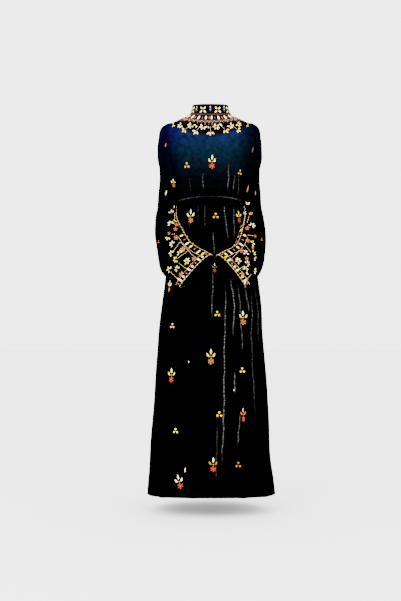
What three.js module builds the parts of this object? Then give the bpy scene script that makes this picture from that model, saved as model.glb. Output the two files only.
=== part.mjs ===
// Full-length velvet abaya in the shape it takes when worn, with nobody inside: a yoked bodice and a
// gathered skirt under a sash, a stand collar, and long trumpet sleeves bent so that the cuffs meet in front.
// Millimetres, +Z up. The front faces -Y and the wearer's left is +X.
// The origin is the middle of the neck base, where the garment hangs from the shoulders.
import * as THREE from "three";

// ---------------------------------------------------------------- driving dimensions
const CLOTH = 2; // velvet, pile and backing together
const SEAM = 0.3; // clearance left between two sewn pieces
const ARMHOLE = 150; // from the centre line to the plane of each armhole
const SHOULDER_Z = -31; // top of the armhole
const ARMPIT_Z = -200; // bottom of the armhole
const WAIST_Z = -369; // waist seam at the sides; it rises towards the front and the back
const SASH_HEIGHT = 36;
const SASH_CLOTH = 3; // doubled velvet
const SASH_EASE = 3.4; // from the gathered cloth's middle surface out to the sash's inner face
const GATHERS = 14; // small gathers across each half of the waist
const GATHER_RISE = 1.6;
const GATHER_FADE = 95; // distance above and below the sash over which the gathers die away
const BUTTON_RADIUS = 5.5;
const BUTTON_THICKNESS = 4;
const LOOP_CORD = 0.9; // radius of the rouleau loop's cord

const COLUMNS = { bodice: 32, skirt: 56, sleeve: 10, collar: 40, sash: 48 };

const table = (names, rows) =>
  rows.map((row) => Object.fromEntries(names.split(" ").map((name, i) => [name, row[i]])));

// Rings round the body from the neck to the hem. A ring is a superellipse: half its width, its reach in
// front of and behind the coronal plane, how much it rises at centre front and centre back, and its power.
// Between the shoulder and the armpit the ring runs on past the armhole plane, which cuts it.
const BODICE = table("z halfWidth front back frontLift backLift power", [
  [0, 84, 62, 66, -8, 5, 2.0],
  [-8, 102, 66, 71, -8, 4, 1.78],
  [-16, 119, 70, 76, -7, 3, 1.67],
  [-24, 135, 75, 81, -6, 2, 1.62],
  [SHOULDER_Z, 150, 79, 85, -5, 1, 1.66],
  [-42, 166, 84, 91, -4, 0, 1.8],
  [-62, 177, 91, 98, -2, 0, 1.96],
  [-92, 183, 102, 104, 0, 0, 2.1],
  [-126, 183, 111, 108, 0, 0, 2.2],
  [-160, 177, 118, 110, 0, 0, 2.26],
  [-184, 166, 121, 108, 0, 0, 2.3],
  [-196, 156, 121.5, 107, 0, 0, 2.3],
  [ARMPIT_Z, 150, 121.5, 106, 0, 0, 2.3],
  [-207, 149.5, 121, 105, 0, 0, 2.3],
  [-222, 148.5, 120, 102, 0, 0, 2.3],
  [-250, 144.5, 117, 98, 1, 0, 2.3],
  [-285, 140.5, 113, 94, 6, 3, 2.28],
  [-320, 138, 109.5, 91, 11, 6, 2.26],
  [-348, 136, 104.5, 89, 16, 9, 2.24],
  [WAIST_Z, 132, 99, 87, 19, 11, 2.22],
]);
const SKIRT = table("z halfWidth front back frontLift backLift power shift", [
  [WAIST_Z, 132, 99, 87, 19, 11, 2.22, 0],
  [-389, 134, 101, 90, 18, 11, 2.2, 0],
  [-420, 138, 103, 98, 16, 9, 2.16, 0],
  [-480, 148, 107, 110, 11, 6, 2.12, 1],
  [-560, 162, 116, 123, 4, 2, 2.12, 3],
  [-650, 185, 126, 134, 0, 0, 2.15, 6],
  [-760, 197, 133, 145, 0, 0, 2.15, 6],
  [-890, 204, 140, 156, 0, 0, 2.14, 2],
  [-1030, 214, 149, 169, 0, 0, 2.13, 1],
  [-1180, 225, 159, 183, 0, 0, 2.12, 1],
  [-1350, 236, 170, 199, 0, 0, 2.1, -2],
  [-1512, 254, 183, 219, 12, 0, 2.1, 2],
]);
// The stand collar above the neck seam.
const COLLAR = table("z halfWidth front back frontLift backLift power", [
  [0, 84, 62, 66, -8, 5, 2.0],
  [9, 79.5, 58.5, 62, -7, 4.5, 2.0],
  [22, 75, 56, 59, -5, 4, 2.0],
  [38, 71.5, 55, 57, -3, 3, 2.0],
]);

// Hanging folds: `at` runs from -1 at the wearer's right side seam to 1 at the left one, at the fold's
// upper and lower end. Each fades in and out over a share of its own length.
const FRONT_FOLDS = table("topAt bottomAt topZ bottomZ rise halfWidth", [
  [-0.93, -0.95, -640, -1300, 5, 0.06],
  [-0.77, -0.8, -600, -1500, 8, 0.07],
  [-0.62, -0.63, -420, -1100, 6, 0.07],
  [-0.56, -0.5, -980, -1640, 13, 0.08],
  [-0.46, -0.44, -340, -900, 7, 0.06],
  [-0.34, -0.3, -350, -1240, 8, 0.06],
  [-0.22, -0.17, -560, -1640, 14, 0.08],
  [-0.1, -0.07, -340, -820, 5, 0.055],
  [0.02, 0.015, -400, -900, 7, 0.05],
  [0.13, 0.15, -360, -1500, 15, 0.06],
  [0.27, 0.25, -330, -1000, 10, 0.055],
  [0.32, 0.31, -980, -1640, 11, 0.07],
  [0.5, 0.42, -330, -1120, 9, 0.06],
  [0.49, 0.47, -560, -960, 5, 0.045],
  [0.61, 0.61, -520, -1640, 11, 0.065],
  [0.75, 0.77, -560, -1100, 7, 0.06],
  [0.9, 0.92, -700, -1640, 8, 0.06],
]);
const BACK_FOLDS = table("topAt bottomAt topZ bottomZ rise halfWidth", [
  [-0.9, -0.93, -620, -1500, 8, 0.06],
  [-0.75, -0.77, -420, -1180, 8, 0.065],
  [-0.6, -0.62, -350, -1640, 13, 0.075],
  [-0.45, -0.46, -340, -980, 7, 0.06],
  [-0.36, -0.3, -540, -1640, 15, 0.08],
  [-0.2, -0.15, -345, -1260, 9, 0.065],
  [0.18, 0.14, -345, -1640, 14, 0.075],
  [0.33, 0.31, -350, -1100, 8, 0.06],
  [0.47, 0.46, -500, -1640, 14, 0.08],
  [0.63, 0.64, -340, -1020, 8, 0.065],
  [0.76, 0.79, -640, -1640, 11, 0.07],
  [0.92, 0.94, -600, -1250, 6, 0.05],
]);
// Short creases that the sash draws up into the bodice.
const BODICE_FOLDS = table("topAt bottomAt topZ bottomZ rise halfWidth", [
  [-0.72, -0.66, -230, -372, 3, 0.08],
  [-0.44, -0.42, -255, -366, 2.5, 0.07],
  [-0.14, -0.16, -245, -360, 3, 0.07],
  [0.33, 0.35, -205, -362, 4.5, 0.07],
  [0.47, 0.5, -235, -366, 4, 0.07],
  [0.63, 0.66, -240, -372, 3.5, 0.07],
]);

// Sleeve sections below the armhole: the point on the body side (on the forearm, its upper edge), the
// point on the outer side (its lower edge), half the thickness between them, and how far the sleeve
// thins towards the outer point, how far its front leans in over the body, and how much of the thickness
// lies in front of the line between the two points. x counts outwards from the centre line.
const SECTION = "innerX innerY innerZ outerX outerY outerZ halfDepth thinning lean frontShare";
const RIGHT_SLEEVE = table(SECTION, [
  [153.5, 0, -201.5, 168, 0, -34, 60.5, 0, 0, 0.5],
  [155, 0, -205, 186, 0, -43, 60, 0, 2, 0.5],
  [155, 0, -209, 199, 0, -59, 59, 0, 4, 0.5],
  [153.5, -1, -214, 206, 0, -84, 58, 0, 6, 0.5],
  [151.5, -2, -222, 208, 0, -116, 56, 0, 6, 0.5],
  [150.5, -6, -237, 204, -2, -156, 54, 0, 8, 0.5],
  [147, -13, -262, 199, -8, -206, 52, 0, 10, 0.5],
  [142, -22, -296, 200, -15, -258, 51, 0, 14, 0.5],
  [136.5, -33, -332, 205, -22, -316, 50, 0, 18, 0.5],
  [136, -48, -368, 210, -30, -372, 48, 0.05, 16, 0.5],
  [136, -68, -402, 214, -32, -428, 44, 0.1, 10, 0.5],
  [128, -100, -428, 212.5, -58, -482, 40, 0.15, 4, 0.48],
  [118, -126, -450, 209, -84, -534, 39, 0.2, 0, 0.44],
  [106, -140, -470, 203, -100, -582, 38, 0.25, 0, 0.4],
  [93, -156, -495, 195, -118, -616, 37, 0.28, 0, 0.36],
  [77, -172, -517, 181, -138, -642, 35.5, 0.3, 0, 0.33],
  [57, -188, -533, 164, -157, -660, 34, 0.32, 0, 0.3],
  [36, -207, -547, 145, -179, -674, 32.5, 0.34, 0, 0.28],
  [13, -226, -560, 128, -199, -685, 31, 0.35, 0, 0.27],
  [-3, -239, -569, 117, -212, -690, 30, 0.35, 0, 0.26],
]);
// The wearer's left sleeve hangs a little higher at the shoulder and fuller below the elbow.
const LEFT_SLEEVE = table(SECTION, [
  [153.5, 0, -201.5, 168, 0, -34, 60.5, 0, 0, 0.5],
  [155, 0, -205, 184, 0, -43, 60, 0, 2, 0.5],
  [155, 0, -209, 196, 0, -59, 59, 0, 4, 0.5],
  [153.5, -1, -214, 202, 0, -84, 58, 0, 6, 0.5],
  [151.5, -2, -222, 203, 0, -116, 56, 0, 6, 0.5],
  [151, -6, -237, 200, -2, -156, 54, 0, 8, 0.5],
  [147, -13, -262, 194, -8, -206, 52, 0, 10, 0.5],
  [142, -22, -296, 195, -15, -258, 51, 0, 14, 0.5],
  [136.5, -33, -332, 199, -22, -316, 50, 0, 18, 0.5],
  [136.5, -48, -368, 203, -30, -372, 48, 0.05, 16, 0.5],
  [138, -68, -402, 207, -32, -428, 44, 0.1, 10, 0.5],
  [132, -100, -428, 211, -58, -482, 40, 0.15, 4, 0.48],
  [126, -126, -450, 214, -84, -534, 39, 0.2, 0, 0.44],
  [120, -140, -472, 210, -100, -582, 38, 0.25, 0, 0.4],
  [112, -156, -498, 201, -118, -614, 37, 0.28, 0, 0.36],
  [101, -172, -522, 190, -138, -638, 35.5, 0.3, 0, 0.33],
  [83, -188, -538, 178, -157, -656, 34, 0.32, 0, 0.3],
  [62, -207, -550, 163, -179, -670, 32.5, 0.34, 0, 0.28],
  [40, -226, -561, 145, -199, -683, 31, 0.35, 0, 0.27],
  [24, -239, -570, 131, -212, -690, 30, 0.35, 0, 0.26],
]);

// ---------------------------------------------------------------- forms
const FRONT = -1;
const BACK = 1;
const power = (value, exponent) => Math.sign(value) * Math.abs(value) ** exponent;
const smooth = (t) => {
  const s = Math.min(Math.max(t, 0), 1);
  return s * s * (3 - 2 * s);
};

// Height of the folds in a list, outwards from the ring, at one place of a panel.
function foldRise(folds, at, z) {
  let rise = 0;
  for (const fold of folds) {
    const down = (fold.topZ - z) / (fold.topZ - fold.bottomZ);
    if (down <= 0 || down >= 1) continue;
    const centre = fold.topAt + (fold.bottomAt - fold.topAt) * down;
    const away = Math.abs(at - centre) / fold.halfWidth;
    if (away >= 1) continue;
    const fade = smooth(down / 0.3) * smooth((1 - down) / 0.25);
    rise += fold.rise * fade * (0.5 + 0.5 * Math.cos(Math.PI * away));
  }
  return rise;
}

function gatherRise(at, z) {
  const near = 1 - Math.abs(z - WAIST_Z) / GATHER_FADE;
  return GATHER_RISE * smooth(near) * Math.cos(Math.PI * GATHERS * at);
}

// A place on a ring: `at` runs from -1 at the wearer's right to 1 at the left, on one side of the body.
function ringPoint(ring, side, at, rise = 0) {
  const angle = (at * Math.PI) / 2;
  const reach = side === FRONT ? ring.front : ring.back;
  const lift = side === FRONT ? ring.frontLift : ring.backLift;
  const bend = 2 / ring.power;
  const x = power(Math.sin(angle), bend) * ring.halfWidth;
  const y = side * power(Math.cos(angle), bend) * reach;
  const outwards = new THREE.Vector2(
    power(x / ring.halfWidth, ring.power - 1) / ring.halfWidth,
    power(y / reach, ring.power - 1) / reach,
  ).normalize();
  return new THREE.Vector3(
    x + (ring.shift ?? 0) + outwards.x * rise,
    y + outwards.y * rise,
    ring.z + lift * Math.cos(angle) ** 2,
  );
}

// The ring of a descending list at a height of its own, between its neighbours.
function ringBetween(rings, z) {
  const next = rings.findIndex((ring, i) => i > 0 && ring.z <= z);
  const [above, below] = [rings[next - 1], rings[next]];
  const share = (above.z - z) / (above.z - below.z);
  const blend = (name) => above[name] + (below[name] - above[name]) * share;
  return Object.fromEntries(Object.keys(above).map((name) => [name, blend(name)]));
}

// The `at` where the armhole plane cuts a bodice ring, or the side seam where it doesn't.
function armholeAt(ring) {
  if (ring.z >= SHOULDER_Z || ring.z <= ARMPIT_Z) return 1;
  return (2 / Math.PI) * Math.asin((ARMHOLE / ring.halfWidth) ** (ring.power / 2));
}

const [X, Y, Z] = [new THREE.Vector3(1, 0, 0), new THREE.Vector3(0, 1, 0), new THREE.Vector3(0, 0, 1)];

// A closed wall of cloth from rows of outer points, its inner face one thickness in. `flat(i, j)` lists
// the directions that the thickness keeps clear of at a seam, so that two seam edges stay parallel.
function clothWall(rows, { closed = false, turned = false, thickness = CLOTH, flat = () => [] } = {}) {
  const rowCount = rows.length;
  const columnCount = rows[0].length;
  const clampRow = (i) => Math.min(Math.max(i, 0), rowCount - 1);
  const column = (j) =>
    closed ? (j + columnCount) % columnCount : Math.min(Math.max(j, 0), columnCount - 1);
  const points = rows.flat();
  const inner = rows.flatMap((row, i) =>
    row.map((point, j) => {
      const across = new THREE.Vector3().subVectors(rows[i][column(j + 1)], rows[i][column(j - 1)]);
      const along = new THREE.Vector3().subVectors(rows[clampRow(i + 1)][j], rows[clampRow(i - 1)][j]);
      const outwards = across.cross(along).normalize();
      if (turned) outwards.negate();
      for (const way of flat(i, j)) outwards.addScaledVector(way, -outwards.dot(way));
      return point.clone().addScaledVector(outwards.normalize(), -thickness);
    }),
  );
  const index = [];
  const quad = (a, b, c, d) => {
    if (turned) index.push(a, c, b, a, d, c);
    else index.push(a, b, c, a, c, d);
  };
  const outside = (i, j) => i * columnCount + column(j);
  const inside = (i, j) => points.length + outside(i, j);
  const spans = closed ? columnCount : columnCount - 1;
  for (let j = 0; j < spans; j++) {
    for (let i = 0; i < rowCount - 1; i++) {
      quad(outside(i, j), outside(i, j + 1), outside(i + 1, j + 1), outside(i + 1, j));
      quad(inside(i, j + 1), inside(i, j), inside(i + 1, j), inside(i + 1, j + 1));
    }
    quad(outside(0, j + 1), outside(0, j), inside(0, j), inside(0, j + 1));
    const last = rowCount - 1;
    quad(outside(last, j), outside(last, j + 1), inside(last, j + 1), inside(last, j));
  }
  if (!closed) {
    for (let i = 0; i < rowCount - 1; i++) {
      const end = columnCount - 1;
      quad(outside(i, 0), outside(i + 1, 0), inside(i + 1, 0), inside(i, 0));
      quad(outside(i + 1, end), outside(i, end), inside(i, end), inside(i + 1, end));
    }
  }
  const coordinates = [...points, ...inner].flatMap((p) => [p.x, p.y, p.z]);
  return new THREE.BufferGeometry()
    .setAttribute("position", new THREE.Float32BufferAttribute(coordinates, 3))
    .setIndex(index);
}

// ---------------------------------------------------------------- bodice and skirt panels
// A panel between two places on each ring. from/to are -1, 0 or 1: a side seam or the centre back.
function bodyPanel(rings, side, from, to, columns, folds) {
  const upwards = rings[0].z < rings[1].z ? rings : [...rings].reverse();
  const last = upwards.length - 1;
  const isArmhole = (ring) => ring.z < SHOULDER_Z && ring.z > ARMPIT_Z && rings === BODICE;
  const isArmholeEnd = (ring) => rings === BODICE && (ring.z === SHOULDER_Z || ring.z === ARMPIT_Z);
  const rows = upwards.map((ring, i) => {
    const limit = rings === BODICE ? armholeAt(ring) : 1;
    const row = [];
    for (let j = 0; j <= columns; j++) {
      const share = side === FRONT ? j / columns : 1 - j / columns;
      const at = (from + (to - from) * share) * limit;
      const rise = foldRise(folds, at, ring.z) + gatherRise(at, ring.z);
      const seamFade = 1 - smooth((Math.abs(at) - 0.93) / 0.07);
      const point = ringPoint(ring, side, at, rise * seamFade);
      const isEdge = j === 0 || j === columns;
      const isCentreBack = isEdge && at === 0;
      if (isCentreBack) point.x += ((from + to) * SEAM) / 2;
      else if (isEdge && !isArmhole(ring)) point.y += (side * SEAM) / 2;
      if (isEdge && !isCentreBack && (isArmhole(ring) || isArmholeEnd(ring))) {
        point.x -= (Math.sign(at) * SEAM) / 2;
      }
      if (i === 0 && rings === BODICE) point.z += SEAM / 2;
      if (i === last && rings === SKIRT) point.z -= SEAM / 2;
      row.push(point);
    }
    return row;
  });
  const flat = (i, j) => {
    const ways = i === 0 || i === last ? [Z] : [];
    if (j !== 0 && j !== columns) return ways;
    const atCentreBack = (j === 0 ? (side === FRONT ? from : to) : side === FRONT ? to : from) === 0;
    if (atCentreBack || isArmhole(upwards[i])) return [...ways, X];
    if (isArmholeEnd(upwards[i])) return [...ways, X, Y];
    return [...ways, Y];
  };
  return clothWall(rows, { flat });
}

// ---------------------------------------------------------------- sleeves
// The armhole as a closed line in its plane, by `turn`: 0 at the armpit, half a turn at the shoulder,
// going up the front and down the back.
function armholePoint(turn, handed) {
  const middle = (SHOULDER_Z + ARMPIT_Z) / 2;
  const z = middle - ((SHOULDER_Z - ARMPIT_Z) / 2) * Math.cos(turn);
  const side = Math.sin(turn) >= 0 ? FRONT : BACK;
  const rings = BODICE.filter((ring) => ring.z <= SHOULDER_Z && ring.z >= ARMPIT_Z);
  const upper = rings.findIndex((ring, i) => i < rings.length - 1 && z >= rings[i + 1].z);
  const [above, below] = [rings[upper], rings[upper + 1]];
  const share = (above.z - z) / (above.z - below.z);
  const edge = (ring) => ringPoint(ring, side, armholeAt(ring));
  const point = edge(above).lerp(edge(below), share);
  return new THREE.Vector3(handed * (ARMHOLE + SEAM / 2), point.y, point.z);
}

// The front or the back of a sleeve, from its seam on the body side to its seam on the outer side.
function sleevePanel(sections, handed, side) {
  const inner = sections.map((s) => new THREE.Vector3(handed * s.innerX, s.innerY, s.innerZ));
  const outer = sections.map((s) => new THREE.Vector3(handed * s.outerX, s.outerY, s.outerZ));
  const centre = inner.map((point, i) => point.clone().add(outer[i]).multiplyScalar(0.5));
  const turns = Array.from({ length: COLUMNS.sleeve + 1 }, (_, j) => (-side * Math.PI * j) / COLUMNS.sleeve);
  const rows = [turns.map((turn) => armholePoint(turn, handed))];
  const seamWays = [Y.clone().multiplyScalar(side)];
  sections.forEach((section, i) => {
    const half = outer[i].clone().sub(inner[i]).multiplyScalar(0.5);
    const before = centre[Math.max(i - 1, 0)];
    const after = centre[Math.min(i + 1, centre.length - 1)];
    const forwards = after.clone().sub(before);
    const depth = half.clone().cross(forwards).normalize();
    if (depth.y > 0) depth.negate();
    seamWays.push(depth.clone().multiplyScalar(-side));
    rows.push(
      turns.map((turn) => {
        const share = Math.sin(turn) > 0 ? section.frontShare : 1 - section.frontShare;
        const thin = 1 + section.thinning * Math.cos(turn);
        const reach = 2 * share * section.halfDepth * Math.sin(turn) * thin;
        const point = centre[i].clone().addScaledVector(half, -Math.cos(turn));
        point.addScaledVector(depth, reach);
        point.x -= handed * section.lean * Math.sin(turn);
        return point;
      }),
    );
  });
  rows.forEach((row, i) => {
    for (const j of [0, COLUMNS.sleeve]) row[j].addScaledVector(seamWays[i], SEAM / 2);
  });
  const flat = (i, j) => [
    ...(i === 0 ? [X] : []),
    ...(j === 0 || j === COLUMNS.sleeve ? [seamWays[i]] : []),
  ];
  return clothWall(rows, { turned: handed > 0 === (side === FRONT), flat });
}

// ---------------------------------------------------------------- collar, sash and closure
const COLLAR_OPENING = 1.2; // between the collar's ends at the centre back

// `turn` runs from 0 at the centre back, past the wearer's right and the front, to 1.
function roundPoint(ring, turn, rise = 0) {
  const quarter = turn * 4;
  if (quarter < 1) return ringPoint(ring, BACK, -quarter, rise);
  if (quarter > 3) return ringPoint(ring, BACK, 4 - quarter, rise);
  return ringPoint(ring, FRONT, quarter - 2, rise);
}

function collar() {
  const rows = COLLAR.map((ring, i) => {
    const row = [];
    for (let j = 0; j <= COLUMNS.collar; j++) {
      const point = roundPoint(ring, j / COLUMNS.collar);
      if (j === 0) point.x -= COLLAR_OPENING / 2;
      if (j === COLUMNS.collar) point.x += COLLAR_OPENING / 2;
      if (i === 0) point.z += SEAM;
      row.push(point);
    }
    return row;
  });
  const flat = (i, j) => [...(i === 0 ? [Z] : []), ...(j === 0 || j === COLUMNS.collar ? [X] : [])];
  return clothWall(rows, { flat });
}

// Soft horizontal folds of the sash: height within it, and how far they stand out.
const SASH_PROFILE = table("share rise", [
  [-0.5, 0],
  [-0.3, 1.6],
  [-0.08, 0.5],
  [0.14, 2.1],
  [0.34, 1.0],
  [0.5, 0.1],
]);

function sash() {
  const waist = BODICE.slice(-4).concat(SKIRT.slice(1, 4));
  const rows = SASH_PROFILE.map(({ share, rise }) => {
    const ring = ringBetween(waist, WAIST_Z + share * SASH_HEIGHT);
    return Array.from({ length: COLUMNS.sash }, (_, j) =>
      roundPoint(ring, j / COLUMNS.sash, SASH_EASE + SASH_CLOTH + rise),
    );
  });
  return clothWall(rows, { closed: true, thickness: SASH_CLOTH });
}

// A covered ball button on the wearer's right end of the collar and a cord loop from the left end.
const BUTTON_X = -9;
const BUTTON_Z = 27;
const COLLAR_BACK_Y = 62.5; // clear of the collar's outer face at the button's height

function button() {
  const radius = BUTTON_RADIUS;
  const half = BUTTON_THICKNESS / 2;
  const profile = [
    [0, -half],
    [radius * 0.72, -half],
    [radius, -half * 0.3],
    [radius * 0.94, half * 0.35],
    [radius * 0.62, half * 0.85],
    [0, half],
  ].map(([r, y]) => new THREE.Vector2(r, y));
  const geometry = new THREE.LatheGeometry(profile, 20);
  return geometry.translate(BUTTON_X, COLLAR_BACK_Y + half, BUTTON_Z);
}

function buttonLoop() {
  const reach = BUTTON_RADIUS + LOOP_CORD + 0.5;
  const points = [];
  const startX = 5;
  points.push(new THREE.Vector3(startX, 0, reach * 0.8));
  for (let step = 0; step <= 8; step++) {
    const angle = Math.PI / 2 + (Math.PI * step) / 8;
    points.push(new THREE.Vector3(BUTTON_X + reach * Math.cos(angle), 0, reach * Math.sin(angle)));
  }
  points.push(new THREE.Vector3(startX, 0, -reach * 0.8));
  const path = new THREE.CatmullRomCurve3(points);
  const section = new THREE.Shape().absarc(0, 0, LOOP_CORD, 0, 2 * Math.PI);
  const geometry = new THREE.ExtrudeGeometry(section, { steps: 26, extrudePath: path, curveSegments: 4 });
  return geometry.translate(0, COLLAR_BACK_Y + LOOP_CORD, BUTTON_Z);
}

// ---------------------------------------------------------------- the garment
const velvet = (color) => new THREE.MeshStandardMaterial({ color, roughness: 0.95, metalness: 0 });
const midnight = velvet(0x0a1f38);
const black = velvet(0x08090d);
const bandCloth = velvet(0x0d1526);
const closureCloth = velvet(0x15161c);

const abaya = new THREE.Group();

function add(name, geometry, material) {
  const mesh = new THREE.Mesh(geometry, material);
  mesh.name = name;
  abaya.add(mesh);
}

const half = (columns) => columns / 2;
add("bodice_front", bodyPanel(BODICE, FRONT, -1, 1, COLUMNS.bodice, BODICE_FOLDS), midnight);
add("bodice_back_right", bodyPanel(BODICE, BACK, -1, 0, half(COLUMNS.bodice), BODICE_FOLDS), midnight);
add("bodice_back_left", bodyPanel(BODICE, BACK, 0, 1, half(COLUMNS.bodice), BODICE_FOLDS), midnight);
add("skirt_front", bodyPanel(SKIRT, FRONT, -1, 1, COLUMNS.skirt, FRONT_FOLDS), black);
add("skirt_back_right", bodyPanel(SKIRT, BACK, -1, 0, half(COLUMNS.skirt), BACK_FOLDS), black);
add("skirt_back_left", bodyPanel(SKIRT, BACK, 0, 1, half(COLUMNS.skirt), BACK_FOLDS), black);
add("sleeve_right_front", sleevePanel(RIGHT_SLEEVE, -1, FRONT), midnight);
add("sleeve_right_back", sleevePanel(RIGHT_SLEEVE, -1, BACK), midnight);
add("sleeve_left_front", sleevePanel(LEFT_SLEEVE, 1, FRONT), midnight);
add("sleeve_left_back", sleevePanel(LEFT_SLEEVE, 1, BACK), midnight);
add("collar", collar(), bandCloth);
add("sash", sash(), black);
add("collar_button", button(), closureCloth);
add("button_loop", buttonLoop(), closureCloth);

export default abaya;
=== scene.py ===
"""Full-length embroidered velvet abaya, in the shape it takes when worn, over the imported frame.

Tables and sizes are in millimetres and degrees; meshes are built in metres. The front faces -Y and the
wearer's left is +X. The origin is the middle of the neck base.
"""

import logging
import math
from collections.abc import Sequence
from dataclasses import dataclass, field
from enum import Enum
from typing import Any

import bpy
import numpy as np
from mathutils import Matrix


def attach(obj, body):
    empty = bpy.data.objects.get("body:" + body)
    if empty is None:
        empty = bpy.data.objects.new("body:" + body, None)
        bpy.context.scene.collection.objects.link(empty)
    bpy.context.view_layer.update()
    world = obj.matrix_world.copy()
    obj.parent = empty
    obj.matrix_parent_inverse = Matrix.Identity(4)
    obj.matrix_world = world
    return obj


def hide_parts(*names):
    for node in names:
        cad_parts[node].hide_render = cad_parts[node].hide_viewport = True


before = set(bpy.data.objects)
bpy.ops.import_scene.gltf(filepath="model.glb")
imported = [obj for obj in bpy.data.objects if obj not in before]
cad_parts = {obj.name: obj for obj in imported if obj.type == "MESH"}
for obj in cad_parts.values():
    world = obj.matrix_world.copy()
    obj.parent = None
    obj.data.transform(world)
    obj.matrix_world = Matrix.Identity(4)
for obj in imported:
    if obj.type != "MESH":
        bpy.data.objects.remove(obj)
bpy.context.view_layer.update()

LOG = logging.getLogger("abaya")
MM = 0.001
Array = np.ndarray
Pair = tuple[float, float]
Material = bpy.types.Material
Table = dict[str, Array]  # named columns

# ---- sizes
CLOTH = 2.0  # velvet, pile and backing together
SEAM = 0.04  # clearance left between two pieces once they are sewn
ARMHOLE = 150.0  # centre line to the plane of each armhole
SHOULDER_Z = -31.0
ARMPIT_Z = -200.0
WAIST_Z = -369.0
HEM_Z = -1512.0
SASH_HEIGHT = 36.0
SASH_CLOTH = 3.0
SASH_EASE = 3.4  # how far its inside stands off the form under it
COLLAR_OPENING = 1.2  # at the centre back
GATHER_FADE = 95.0  # how far from the sash the gathers die away
GATHER_DRIFT, DRIFT_PITCH = 0.012, 17.0  # how far the gathers wander sideways, and how quickly down the cloth
SLACK_TOP, SLACK_FADE = -126.0, 200.0  # where heavy cloth begins to hang unevenly, and over what height
SEAM_FLAT = 0.07  # share of a quarter round over which folds die away before a side seam
FOLD_FADES = (0.3, 0.25)  # share of a hanging fold's length that fades at its top and at its bottom
SLEEVE_FOLD_FADE = 0.35
CREASE_FADE = 0.18
CREASE_WANDER = ((1.2, 21.0), (0.7, 8.5))  # how far a crease strays from its curve, and how quickly
CREST = 1.1  # how far the painted highlight on a crease's crest fades out to each side of it
CREST_FLAT = 0.25  # how far it is at full strength before that, as a share of it
PAINTED_GLINT_SHARE = 0.75  # how far the painted highlight colour replaces the cloth's colour where a crease's shine is 1


class Side(Enum):
    """Half of the garment, by the sign of its reach along Y."""

    FRONT = -1
    BACK = 1


class Thread(Enum):
    """Embroidery threads and beads, by what they are."""

    IVORY = "ivory_silk_thread"
    CREAM = "cream_silk_thread"
    PALE_GOLD = "pale_gold_metallic_thread"
    GOLD = "gold_metallic_thread"
    ORANGE = "orange_silk_thread"
    CORAL = "coral_silk_thread"
    RED = "red_silk_thread"
    ROSE = "rose_silk_thread"
    MAUVE = "mauve_silk_thread"
    BLUE = "royal_blue_silk_thread"
    STEEL = "steel_blue_bugle_bead"
    IVORY_BEAD = "ivory_seed_bead"
    GOLD_BEAD = "gold_seed_bead"
    ROSE_BEAD = "rose_seed_bead"


class Outline(Enum):
    """Shapes that one block of satin stitch is worked in."""

    LEAF = "leaf"
    DROP = "drop"
    BAR = "bar"
    BEAD = "bead"


def table(text: str) -> Table:
    """Reads named columns from text.

    Args:
        text: Column names on the first line and one row on each other line.

    Returns:
        Each column as an array, by name: of threads where it is in capitals, of words or of numbers.
    """
    names, *rows = (line.split() for line in text.strip().splitlines())

    def value(word: str) -> Any:
        """One entry: a thread, a word or a number."""
        return Thread[word] if word.isupper() else word if word.isalpha() else float(word)

    return {name: np.array([value(word) for word in column]) for name, column in zip(names, zip(*rows))}


# Rings round the body. A ring is a superellipse: half its width, its reach in front of and behind the
# coronal plane, its rise at centre front and centre back, its power, and how far it sits off centre.
# Between the shoulder and the armpit it runs on past the armhole plane, which cuts it.
BODY_RINGS = table(f"""
z half_width front back front_lift back_lift power shift
0 84 62 66 -8 5 2.0 0
-8 102 66 71 -8 4 1.78 0
-16 119 70 76 -7 3 1.67 0
-24 135 75 81 -6 2 1.62 0
{SHOULDER_Z:g} 150 79 85 -5 1 1.66 0
-42 166 84 91 -4 0 1.8 0
-62 177 91 98 -2 0 1.96 0
-92 183 102 104 0 0 2.1 0
-126 183 111 108 0 0 2.2 0
-160 177 118 110 0 0 2.26 0
-184 166 121 108 0 0 2.3 0
-196 156 121.5 107 0 0 2.3 0
{ARMPIT_Z:g} 150 121.5 106 0 0 2.3 0
-207 149.5 121 105 0 0 2.3 0
-222 148.5 120 102 0 0 2.3 0
-250 144.5 117 98 1 0 2.3 0
-285 140.5 113 94 6 3 2.28 0
-320 138 109.5 91 11 6 2.26 0
-348 136 104.5 89 16 9 2.24 0
{WAIST_Z:g} 132 99 87 19 11 2.22 0
-389 134 101 90 18 11 2.2 0
-420 138 103 98 16 9 2.16 0
-480 148 107 110 11 6 2.12 1
-560 162 116 123 4 2 2.12 3
-650 185 126 134 0 0 2.15 6
-760 197 133 145 0 0 2.15 6
-890 204 140 156 0 0 2.14 2
-1030 214 149 169 0 0 2.13 1
-1180 225 159 183 0 0 2.12 1
-1350 236 170 199 0 0 2.1 -2
{HEM_Z:g} 254 183 219 12 0 2.1 2
""")
COLLAR_RINGS = table("""
z half_width front back front_lift back_lift power shift
38 71.5 55 57 -3 3 2.0 0
22 75 56 59 -5 4 2.0 0
9 79.5 58.5 62 -7 4.5 2.0 0
0 84 62 66 -8 5 2.0 0
""")

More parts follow.
